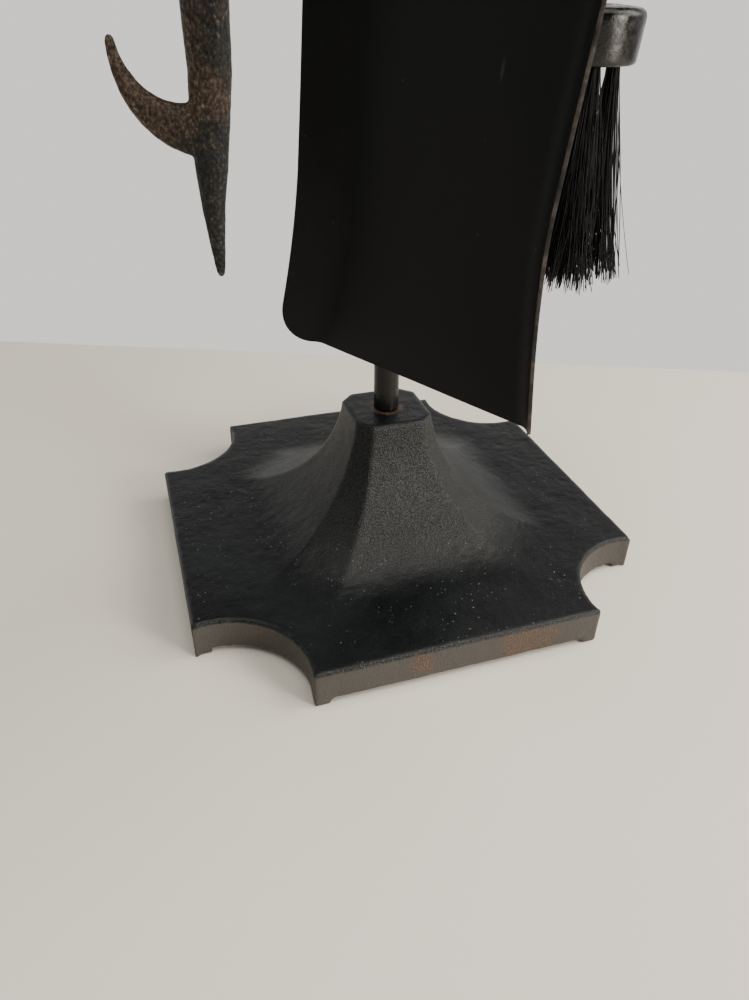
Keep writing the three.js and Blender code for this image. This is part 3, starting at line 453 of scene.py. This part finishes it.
# ---- Holder: hub, hook arms and knob ----
# A small casting on the top of the rod carries four bent round-bar hooks. The knob above it is
# screwed on the rod's end and clamps the hub.

# The same paint on finer castings, which have no side walls of bare sand and no rust.
small_material = painted_casting(
    "black_paint_on_small_castings", ("0e1112", "161a1c", "1a1c1d", "2a2b2b"), 0.7, 0.0, [], None)
hub = softened("holder_hub", "hook_hub", voxel=0.0007, passes=3, lump=0.00012, lump_size=0.006)
fitted(hub, small_material, "hardware_casting", "stand", "holder_hub")
knob = softened("carry_knob", "top_knob", voxel=0.0007, passes=3, lump=0.00012, lump_size=0.006)
fitted(knob, small_material, "hardware_casting", "stand", "carry_knob")
for side in ("right", "back", "left", "front"):
    arm = softened(f"hook_arm_{side}", f"hook_bar_{side}", voxel=0.0006, passes=5)
    fitted(arm, steel_material, "black_steel", "stand", f"hook_arm_{side}")


# ---- Hanging rings and eyes ----
# Each tool hangs from a loose wire ring, butt-welded round, through the eye that is screwed into
# the top of its handle.

def ring_tree():
    """A wire ring: a circle swept with a round section, stood up across its hook arm."""
    tree = bpy.data.node_groups.new("wire_ring", "GeometryNodeTree")
    tree.interface.new_socket("Geometry", in_out="OUTPUT", socket_type="NodeSocketGeometry")
    for name, kind in (("Ring radius", "NodeSocketFloat"), ("Wire radius", "NodeSocketFloat"),
                       ("Centre", "NodeSocketVector"), ("Turn", "NodeSocketFloat"),
                       ("Material", "NodeSocketMaterial")):
        tree.interface.new_socket(name, in_out="INPUT", socket_type=kind)
    given = add(tree, "NodeGroupInput").outputs
    loop = add(tree, "GeometryNodeCurvePrimitiveCircle", {"Resolution": 72}, {"Radius": given["Ring radius"]})
    section = add(tree, "GeometryNodeCurvePrimitiveCircle", {"Resolution": 20},
                  {"Radius": given["Wire radius"]})
    wire = add(tree, "GeometryNodeCurveToMesh", {}, {0: loop, 1: section})
    turn = add(tree, "ShaderNodeCombineXYZ", {"Y": math.pi / 2}, {"Z": given["Turn"]})
    stood = add(tree, "GeometryNodeTransform", {},
                {0: wire, "Translation": given["Centre"], "Rotation": turn})
    smooth = add(tree, "GeometryNodeSetShadeSmooth", {}, {0: stood})
    real = add(tree, "GeometryNodeRealizeInstances", {}, {0: smooth})
    dressed = add(tree, "GeometryNodeSetMaterial", {}, {0: real, "Material": given["Material"]})
    add(tree, "NodeGroupOutput", {}, {0: dressed})
    return tree


def grown(name, tree, values):
    """The plain mesh that a Geometry Nodes tree makes from these named values, as a new object."""
    holder = bpy.data.objects.new(name, bpy.data.meshes.new(name + "_seed"))
    bpy.context.collection.objects.link(holder)
    grower = holder.modifiers.new("grown", "NODES")
    grower.node_group = tree
    for item in tree.interface.items_tree:
        if item.in_out == "INPUT" and item.name in values:
            grower[item.identifier] = values[item.name]
    ready = holder.evaluated_get(bpy.context.evaluated_depsgraph_get())
    mesh = bpy.data.meshes.new_from_object(ready)
    holder.modifiers.clear()
    holder.data = mesh
    mesh.name = name
    return holder


rings = ring_tree()
ring_wire = 0.002
for tool in ("brush", "poker", "shovel"):
    low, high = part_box(f"{tool}_hanging_ring")
    centre = (low + high) / 2
    outward = centre - axis
    ring = grown(f"{tool}_ring_wire", rings, {
        "Ring radius": (high.z - low.z) / 2 - ring_wire,
        "Wire radius": ring_wire,
        "Centre": centre,
        "Turn": math.atan2(outward.y, outward.x),
        "Material": steel_material,
    })
    fitted(ring, steel_material, "black_steel", f"{tool}_ring", f"{tool}_hanging_ring")
    eye = softened(f"{tool}_hanging_eye", f"{tool}_eye_bolt", voxel=0.0004, passes=4)
    fitted(eye, steel_material, "black_steel", tool, f"{tool}_hanging_eye")


# ---- Handles, collars and shafts ----
# Cast grips with the flared, four-ridged form of the stand, each on a round steel shaft that has
# a collar below the grip.

for tool in ("brush", "poker", "shovel"):
    grip = softened(f"{tool}_handle", f"{tool}_grip", voxel=0.0009, passes=3, lump=0.00015, lump_size=0.008)
    fitted(grip, small_material, "hardware_casting", tool, f"{tool}_handle")
    collar = softened(f"{tool}_collar", f"{tool}_grip_collar", voxel=0.0005, passes=4)
    fitted(collar, steel_material, "black_steel", tool, f"{tool}_collar")
    shaft = softened(f"{tool}_shaft", f"{tool}_shaft_bar", voxel=0.0008, passes=5)
    fitted(shaft, steel_material, "black_steel", tool, f"{tool}_shaft")


# ---- Poker ----
# A forged iron head: a bar drawn out to a point, with a hooked barb fire-welded on its side. It
# was never painted at the working end, so it is dark scale with brown rust and rubbed grey specks.

iron_material, tree, place = new_material("forged_iron_with_rust")
along = add(tree, "ShaderNodeMapping", {"Scale": (1.0, 1.0, 0.75)}, {"Vector": place})
scale_skin = add(tree, "ShaderNodeTexNoise", {"Scale": per_mm(1.2), "Detail": 5.0, "Roughness": 0.6},
                 {"Vector": along})
patches = add(tree, "ShaderNodeTexNoise", {"Scale": per_mm(22), "Detail": 5.0, "Roughness": 0.62},
              {"Vector": place})
dark = add(tree, "ShaderNodeValToRGB", {}, {0: scale_skin},
           [(0.34, "121212"), (0.5, "1f1f1f"), (0.62, "302f2e"), (0.72, "5a5854")])
brown = add(tree, "ShaderNodeValToRGB", {}, {0: scale_skin},
            [(0.34, "201915"), (0.5, "403329"), (0.62, "5a4c3f"), (0.74, "827462")])
# The barb was handled and rusted most, so it is paler and browner than the bar.
head_low, head_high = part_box("poker_head")
barb_in, barb_up = 0.012, 0.075
barb_middle = Vector((head_low.x + barb_in, (head_low.y + head_high.y) / 2, head_low.z + barb_up))
barb_near = add(tree, "ShaderNodeVectorMath", {"operation": "DISTANCE", 1: barb_middle}, {0: place})
barb_near = add(tree, "ShaderNodeMapRange", {"From Min": 0.042, "From Max": 0.018, "To Max": 0.32},
                {"Value": barb_near.outputs["Value"]})
patches = add(tree, "ShaderNodeMath", {"operation": "ADD"}, {0: patches, 1: barb_near})
where = add(tree, "ShaderNodeMapRange", {"From Min": 0.58, "From Max": 0.74, "To Max": 0.85},
            {"Value": patches})
skin = add(tree, "ShaderNodeMix", {"data_type": "RGBA"}, {0: where, 6: dark, 7: brown})
edge_wear = add(tree, "ShaderNodeAttribute", {"attribute_name": "edge"}).outputs["Fac"]
shine = add(tree, "ShaderNodeMath", {"operation": "MULTIPLY"}, {0: edge_wear, 1: scale_skin})
shine = add(tree, "ShaderNodeMapRange", {"From Min": 0.15, "From Max": 0.6, "To Max": 0.5}, {"Value": shine})
skin = add(tree, "ShaderNodeMix", {"data_type": "RGBA", 7: linear("6f665c")},
           {0: shine, 6: skin.outputs[2]})
dull = add(tree, "ShaderNodeMapRange", {"From Min": 0.3, "From Max": 0.7, "To Min": 0.72, "To Max": 0.42},
           {"Value": scale_skin})
bump = add(tree, "ShaderNodeBump", {"Strength": 0.8, "Distance": 0.0003}, {"Height": scale_skin})
surface(tree, {"Specular IOR Level": 0.2},
        {"Base Color": skin.outputs[2], "Roughness": dull, "Normal": bump})

poker_head = softened("poker_head", "poker_hook_and_point", voxel=0.0006, passes=6, lump=0.00012)
fitted(poker_head, iron_material, "poker_iron", "poker", "poker_head")


# ---- Shovel ----
# The pan is one piece of 1.2 mm sheet steel with its sides bent up and its back end curled, held
# to the flattened end of the shaft by two rivets. Smooth satin black paint, gone at the cut edges.

# The pan hangs from the hinge of its ring, twisted on it and leaning a little.
hinge_height = 0.642
hook_reach = 0.080
holder_turn = math.radians(-10)
face_turn = math.radians(-53.3)
side_lean = math.radians(0.62)
pan_tilt = math.radians(8)
# The flat runs up from the mouth, in to a waist and out again, to the curled back.
mouth_height = 0.1366
tip_reach = 0.0096
sheet = 0.0012
flat_length = 0.196
back_radius = 0.030
back_turn = math.radians(50)
curl_length = 0.026
curl_taper = 0.012
mouth_half, waist_half, back_half = 0.053, 0.045, 0.050
wall_width = 0.018
wall_turn = math.radians(55)
wall_at_mouth = 0.16
wall_lost_in_curl = 0.6
bend_radius, most_bent = 0.011, 0.8
corner, crowding = 0.015, 1.8
flat_steps, bend_steps, wall_steps = 10, 10, 5
corner_rows, flat_rows, curl_rows = 12, 60, 14
dent_depth, dents_per_metre = 0.0006, 18


def pan_widths(up):
    """Half the flat's width and the width of the side walls, this far up from the mouth."""
    waist_at = flat_length / 3
    narrowing = min(up / waist_at, 1)
    widening = max(up - waist_at, 0) / (flat_length - waist_at)
    back = max(up - flat_length, 0) / curl_length
    half = waist_half + (mouth_half - waist_half) * (1 - math.sin(narrowing * math.pi / 2))
    half += (back_half - waist_half) * min(widening, 1) - curl_taper * back * back
    rounding = min(up / corner, 1)
    share = wall_at_mouth + (1 - wall_at_mouth) * math.sqrt(rounding * (2 - rounding))
    return half, wall_width * share * (1 - wall_lost_in_curl * back)


def pan_line(up):
    """A point of the pan's middle line and the way its face looks, this far up from the mouth."""
    turn = max(up - flat_length, 0) / back_radius
    along = min(up, flat_length) + back_radius * math.sin(turn)
    forward = back_radius * (1 - math.cos(turn))
    rise = Vector((-math.sin(pan_tilt), 0, math.cos(pan_tilt)))
    face = Vector((math.cos(pan_tilt), 0, math.sin(pan_tilt)))
    point = Vector((tip_reach, 0, mouth_height - hinge_height)) + rise * along + face * forward
    return point, face * math.cos(turn) - rise * math.sin(turn)


def pan_section(up):
    """One cross-section of the pan's face as (across, rise) pairs, from rim to rim."""
    half, wall = pan_widths(up)
    radius = min(bend_radius, most_bent * wall / math.tan(wall_turn / 2))
    start = half - radius * math.tan(wall_turn / 2)
    rest = wall - radius * math.tan(wall_turn / 2)
    side = [(start * step / flat_steps, 0) for step in range(1, flat_steps + 1)]
    for step in range(1, bend_steps + 1):
        angle = wall_turn * step / bend_steps
        side.append((start + radius * math.sin(angle), radius * (1 - math.cos(angle))))
    across, rise = side[-1]
    for step in range(1, wall_steps + 1):
        out = rest * step / wall_steps
        side.append((across + out * math.cos(wall_turn), rise + out * math.sin(wall_turn)))
    return [(-x, z) for x, z in reversed(side)] + [(0, 0)] + side


def pan_piece():
    """The pan as a fine sheet, thickened away from its face, with its cut edge as a second finish."""
    shovel_hook = holder_turn - math.pi / 2
    outward = Vector((math.cos(shovel_hook), math.sin(shovel_hook), 0))
    hinge = axis + outward * hook_reach + Vector((0, 0, hinge_height))
    face_way = Vector((math.cos(face_turn), math.sin(face_turn), 0))
    place = Matrix.Translation(hinge) @ Matrix.Rotation(shovel_hook, 4, "Z")
    place = place @ Matrix.Rotation(side_lean, 4, face_way) @ Matrix.Rotation(face_turn, 4, "Z")
    ups = [corner * (step / corner_rows) ** crowding for step in range(corner_rows + 1)]
    ups += [corner + (flat_length - corner) * step / flat_rows for step in range(1, flat_rows + 1)]
    ups += [flat_length + back_turn * back_radius * step / curl_rows for step in range(1, curl_rows + 1)]
    rows = []
    for up in ups:
        point, facing = pan_line(up)
        row = []
        for x, rise in pan_section(up):
            spot = point + Vector((0, x, 0)) + facing * rise
            dent = dent_depth * noise.noise(spot * dents_per_metre)
            row.append(place @ (spot + facing * dent))
        rows.append(row)
    width = len(rows[0])
    points = [point for row in rows for point in row]
    faces = []
    for low in range(len(rows) - 1):
        for side in range(width - 1):
            start = low * width + side
            faces.append((start, start + 1, start + 1 + width, start + width))
    mesh = bpy.data.meshes.new("shovel_pan_sheet")
    mesh.from_pydata(points, [], faces)
    mesh.shade_smooth()
    piece = bpy.data.objects.new("shovel_pan_sheet", mesh)
    bpy.context.collection.objects.link(piece)
    wall = piece.modifiers.new("thickness", "SOLIDIFY")
    wall.thickness = sheet
    wall.offset = -1
    wall.use_even_offset = True
    wall.use_rim = True
    wall.material_offset_rim = 1
    rounded = piece.modifiers.new("dressed_edge", "BEVEL")
    rounded.width = 0.0003
    rounded.segments = 2
    rounded.limit_method = "ANGLE"
    rounded.angle_limit = math.radians(50)
    return piece


# Satin black enamel on sheet steel: even and smooth, with faint long scuffs and a few chips.
sheet_material, tree, place = new_material("satin_black_enamel_on_sheet")
film = add(tree, "ShaderNodeTexNoise", {"Scale": per_mm(60), "Detail": 4.0}, {"Vector": place})
tone = add(tree, "ShaderNodeValToRGB", {}, {0: film}, [(0.35, "0a0b0d"), (0.7, "111213")])
streaks = add(tree, "ShaderNodeMapping", {"Rotation": (0.3, 0.2, 0.0), "Scale": (1.0, 1.0, 0.16)},
              {"Vector": place})
scratch = add(tree, "ShaderNodeTexVoronoi", {"Scale": per_mm(17)}, {"Vector": streaks})
scratch = add(tree, "ShaderNodeMapRange", {"From Min": 0.055, "From Max": 0.02, "To Max": 0.3},
              {"Value": scratch.outputs["Distance"]})
specks = add(tree, "ShaderNodeTexVoronoi", {"Scale": per_mm(11)}, {"Vector": place})
specks = add(tree, "ShaderNodeMapRange", {"From Min": 0.045, "From Max": 0.025, "To Max": 0.35},
             {"Value": specks.outputs["Distance"]})
marks = add(tree, "ShaderNodeMath", {"operation": "MAXIMUM"}, {0: scratch, 1: specks})
coat = add(tree, "ShaderNodeMix", {"data_type": "RGBA", 7: linear("4d4c4a")}, {0: marks, 6: tone})
dull = add(tree, "ShaderNodeMapRange", {"From Min": 0.3, "From Max": 0.7, "To Min": 0.46, "To Max": 0.58},
           {"Value": film})
peel = add(tree, "ShaderNodeTexNoise", {"Scale": per_mm(1.4), "Detail": 2.0}, {"Vector": place})
bump = add(tree, "ShaderNodeBump", {"Strength": 0.35, "Distance": 0.00005}, {"Height": peel})
surface(tree, {"Specular IOR Level": 0.15},
        {"Base Color": coat.outputs[2], "Roughness": dull, "Normal": bump})

# The sheared edge of the sheet, rubbed bare: grey steel tinted with brown rust.
bare_material, tree, place = new_material("bare_sheared_steel_edge")
patchy = add(tree, "ShaderNodeTexNoise", {"Scale": per_mm(6), "Detail": 5.0, "Roughness": 0.7},
             {"Vector": place})
tone = add(tree, "ShaderNodeValToRGB", {}, {0: patchy},
           [(0.36, "161413"), (0.52, "302b27"), (0.7, "544d45")])
dull = add(tree, "ShaderNodeMapRange", {"To Min": 0.4, "To Max": 0.7}, {"Value": patchy})
surface(tree, {"Metallic": 0.4}, {"Base Color": tone, "Roughness": dull})

pan = pan_piece()
pan.data.materials.append(sheet_material)
pan.data.materials.append(bare_material)
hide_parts("shovel_pan")
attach(pan, "shovel")
for end in ("lower", "upper"):
    rivet = softened(f"pan_rivet_{end}", f"rivet_{end}", voxel=0.0003, passes=8)
    fitted(rivet, steel_material, "black_steel", "shovel", f"pan_rivet_{end}")


# ---- Brush ----
# A turned hardwood head, lacquered gloss black, with six drilled holes. Each hole holds a tuft of
# coarse black bristle, folded in its middle and stapled in.

lacquer_material, tree, place = new_material("worn_black_lacquer_on_wood")
mottle = add(tree, "ShaderNodeTexNoise", {"Scale": per_mm(5), "Detail": 6.0, "Roughness": 0.66},
             {"Vector": place})
tone = add(tree, "ShaderNodeValToRGB", {}, {0: mottle},
           [(0.42, "040505"), (0.56, "090a0b"), (0.74, "222424")])
edge_wear = add(tree, "ShaderNodeAttribute", {"attribute_name": "edge"}).outputs["Fac"]
chips = add(tree, "ShaderNodeTexNoise", {"Scale": per_mm(2.2), "Detail": 3.0}, {"Vector": place})
chips = add(tree, "ShaderNodeMath", {"operation": "MULTIPLY"}, {0: edge_wear, 1: chips})
chips = add(tree, "ShaderNodeMapRange", {"From Min": 0.44, "From Max": 0.52}, {"Value": chips})
coat = add(tree, "ShaderNodeMix", {"data_type": "RGBA", 7: linear("6b3a2c")}, {0: chips, 6: tone})
dull = add(tree, "ShaderNodeMapRange", {"From Min": 0.4, "From Max": 0.6, "To Min": 0.12, "To Max": 0.4},
           {"Value": mottle})
bump = add(tree, "ShaderNodeBump", {"Strength": 0.8, "Distance": 0.0003}, {"Height": mottle})
surface(tree, {"Specular IOR Level": 0.34},
        {"Base Color": coat.outputs[2], "Roughness": dull, "Normal": bump})
brush_head = softened("brush_head", "brush_block", voxel=0.0006, passes=6)
fitted(brush_head, lacquer_material, "brush_wood", "brush", "brush_head")

# Black bristle: each one slightly lighter or darker, with a waxy sheen along it.
bristle_material, tree, place = new_material("black_bristle")
own = add(tree, "ShaderNodeAttribute", {"attribute_name": "shade"}).outputs["Fac"]
flecks = add(tree, "ShaderNodeTexNoise", {"Scale": per_mm(3), "Detail": 2.0}, {"Vector": place})
blend = add(tree, "ShaderNodeMath", {"operation": "MULTIPLY_ADD", 1: 0.35}, {0: flecks, 2: own})
tone = add(tree, "ShaderNodeValToRGB", {}, {0: blend}, [(0.2, "040405"), (0.8, "0a0a0c"), (1.0, "17181a")])
dull = add(tree, "ShaderNodeMapRange", {"To Min": 0.3, "To Max": 0.48}, {"Value": own})
surface(tree, {"Specular IOR Level": 0.16}, {"Base Color": tone, "Roughness": dull})


def bristle_tree():
    """Bristles in drilled holes: one in the middle and the rest in a ring, spreading as they fall."""
    tree = bpy.data.node_groups.new("bristle_tufts", "GeometryNodeTree")
    tree.interface.new_socket("Geometry", in_out="OUTPUT", socket_type="NodeSocketGeometry")
    for name, kind in (("Head", "NodeSocketVector"), ("Ring radius", "NodeSocketFloat"),
                       ("Ring turn", "NodeSocketFloat"), ("Ring holes", "NodeSocketInt"),
                       ("Bristles per hole", "NodeSocketInt"), ("Hole radius", "NodeSocketFloat"),
                       ("Length", "NodeSocketFloat"), ("Spread", "NodeSocketFloat"),
                       ("Flare", "NodeSocketFloat"), ("Bow", "NodeSocketFloat"),
                       ("Bristle radius", "NodeSocketFloat"), ("Seed", "NodeSocketInt"),
                       ("Material", "NodeSocketMaterial")):
        tree.interface.new_socket(name, in_out="INPUT", socket_type=kind)
    given = add(tree, "NodeGroupInput").outputs

    def filled(kind, settings, terms):
        """What a node gives for these terms, each a number or a field."""
        numbers = {slot: term for slot, term in enumerate(terms) if isinstance(term, (int, float))}
        fields = {slot: term for slot, term in enumerate(terms) if slot not in numbers}
        return add(tree, kind, {**settings, **numbers}, fields).outputs[0]

    def calc(operation, *terms):
        return filled("ShaderNodeMath", {"operation": operation}, terms)

    def vector(*terms):
        return filled("ShaderNodeCombineXYZ", {}, terms)

    def chance(offset, low=0.0, high=1.0):
        """A random number for each bristle."""
        seed = calc("ADD", given["Seed"], offset)
        return add(tree, "FunctionNodeRandomValue", {2: low, 3: high}, {"Seed": seed}).outputs[1]

    holes = calc("ADD", given["Ring holes"], 1)
    total = calc("MULTIPLY", holes, given["Bristles per hole"])
    index = add(tree, "GeometryNodeInputIndex").outputs[0]
    hole = calc("FLOOR", calc("DIVIDE", index, given["Bristles per hole"]))
    in_ring = calc("MINIMUM", hole, 1.0)
    angle = calc("MULTIPLY_ADD", calc("DIVIDE", calc("SUBTRACT", hole, 1.0), given["Ring holes"]),
                 2 * math.pi, given["Ring turn"])
    away = calc("MULTIPLY", in_ring, given["Ring radius"])
    cosine, sine = calc("COSINE", angle), calc("SINE", angle)
    round_angle = chance(1, 0.0, 2 * math.pi)
    out = calc("SQRT", chance(2))
    root_x = calc("MULTIPLY_ADD", calc("MULTIPLY", calc("COSINE", round_angle), out), given["Hole radius"],
                  calc("MULTIPLY", away, cosine))
    root_y = calc("MULTIPLY_ADD", calc("MULTIPLY", calc("SINE", round_angle), out), given["Hole radius"],
                  calc("MULTIPLY", away, sine))

    # Where the tip ends up, seen from above, relative to the root.
    fan = calc("MULTIPLY", out, given["Flare"])
    push = calc("MULTIPLY", in_ring, given["Spread"])
    wander_share, stray_reach, strays_above, shortest = 0.7, 0.5, 0.995, 0.085
    wander = calc("MULTIPLY", given["Flare"], wander_share)
    tip_x = calc("MULTIPLY_ADD", calc("COSINE", round_angle), fan, calc("MULTIPLY", push, cosine))
    tip_y = calc("MULTIPLY_ADD", calc("SINE", round_angle), fan, calc("MULTIPLY", push, sine))
    tip_x = calc("MULTIPLY_ADD", chance(3, -1.0, 1.0), wander, tip_x)
    tip_y = calc("MULTIPLY_ADD", chance(4, -1.0, 1.0), wander, tip_y)
    # One in two hundred is a stray that leans out half as far again.
    stray = calc("GREATER_THAN", chance(5), strays_above)
    leave = calc("MULTIPLY_ADD", stray, stray_reach, 1.0)
    tip = vector(calc("MULTIPLY", tip_x, leave), calc("MULTIPLY", tip_y, leave))
    bow_angle = chance(6, 0.0, 2 * math.pi)
    bow_size = calc("MULTIPLY", calc("POWER", chance(7), 2.0), given["Bow"])
    bow = vector(calc("MULTIPLY", calc("COSINE", bow_angle), bow_size),
                 calc("MULTIPLY", calc("SINE", bow_angle), bow_size))
    shorten = calc("SUBTRACT", 1.0, calc("MULTIPLY", calc("POWER", chance(8), 2.5), shortest))
    length = calc("MULTIPLY", given["Length"], shorten)

    kept = add(tree, "GeometryNodePoints", {}, {"Count": total, "Position": vector(root_x, root_y)})
    line = add(tree, "GeometryNodeCurvePrimitiveLine", {"End": (0, 0, -1)})
    fine = add(tree, "GeometryNodeResampleCurve", {"Count": 11}, {0: line})
    stored = {}
    for name, value, kind in (("tip", tip, "FLOAT_VECTOR"), ("bow", bow, "FLOAT_VECTOR"),
                              ("fall", length, "FLOAT"), ("shade", chance(9), "FLOAT")):
        kept = add(tree, "GeometryNodeStoreNamedAttribute",
                   {"data_type": kind, "domain": "POINT", "Name": name}, {0: kept, "Value": value})
        read = add(tree, "GeometryNodeInputNamedAttribute", {"data_type": kind, "Name": name})
        stored[name] = read.outputs[0]
    planted = add(tree, "GeometryNodeInstanceOnPoints", {}, {0: kept, "Instance": fine})
    real = add(tree, "GeometryNodeRealizeInstances", {}, {0: planted})

    # Each bristle falls from its root, bends towards its tip and bows a little.
    share = add(tree, "GeometryNodeSplineParameter").outputs["Factor"]
    lean = add(tree, "ShaderNodeVectorMath", {"operation": "SCALE"},
               {0: stored["tip"], "Scale": calc("POWER", share, 1.5)})
    curve = add(tree, "ShaderNodeVectorMath", {"operation": "SCALE"},
                {0: stored["bow"], "Scale": calc("SINE", calc("MULTIPLY", share, math.pi))})
    drop = vector(0.0, 0.0, calc("SUBTRACT", share, calc("MULTIPLY", share, stored["fall"])))
    shift = add(tree, "ShaderNodeVectorMath", {"operation": "ADD"}, {0: lean, 1: curve})
    shift = add(tree, "ShaderNodeVectorMath", {"operation": "ADD"}, {0: shift, 1: drop})
    shift = add(tree, "ShaderNodeVectorMath", {"operation": "ADD"}, {0: shift, 1: given["Head"]})
    fallen = add(tree, "GeometryNodeSetPosition", {}, {0: real, "Offset": shift})
    section = add(tree, "GeometryNodeCurvePrimitiveCircle", {"Resolution": 4},
                  {"Radius": given["Bristle radius"]})
    hair = add(tree, "GeometryNodeCurveToMesh", {"Fill Caps": True}, {0: fallen, 1: section})
    smooth = add(tree, "GeometryNodeSetShadeSmooth", {}, {0: hair})
    joined = add(tree, "GeometryNodeRealizeInstances", {}, {0: smooth})
    dressed = add(tree, "GeometryNodeSetMaterial", {}, {0: joined, "Material": given["Material"]})
    add(tree, "NodeGroupOutput", {}, {0: dressed})
    return tree


ring_holes = 5
root_depth = 0.003
head_low, head_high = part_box("brush_head")
bristle_root = (head_low + head_high) / 2
bristle_root.z = head_low.z + root_depth
bristles = grown("brush_bristles", bristle_tree(), {
    "Head": bristle_root,
    "Ring radius": 0.0123,
    "Ring turn": holder_turn + math.radians(-18),
    "Ring holes": ring_holes,
    "Bristles per hole": 190,
    "Hole radius": 0.0024,
    "Length": bristle_root.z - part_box("bristle_tuft_centre")[0].z,
    "Spread": 0.0058,
    "Flare": 0.0078,
    "Bow": 0.0048,
    "Bristle radius": 0.00019,
    "Seed": 7,
    "Material": bristle_material,
})
tufts = ["bristle_tuft_centre"] + [f"bristle_tuft_{hole}" for hole in range(1, ring_holes + 1)]
fitted(bristles, bristle_material, "bristle", "brush", *tufts)
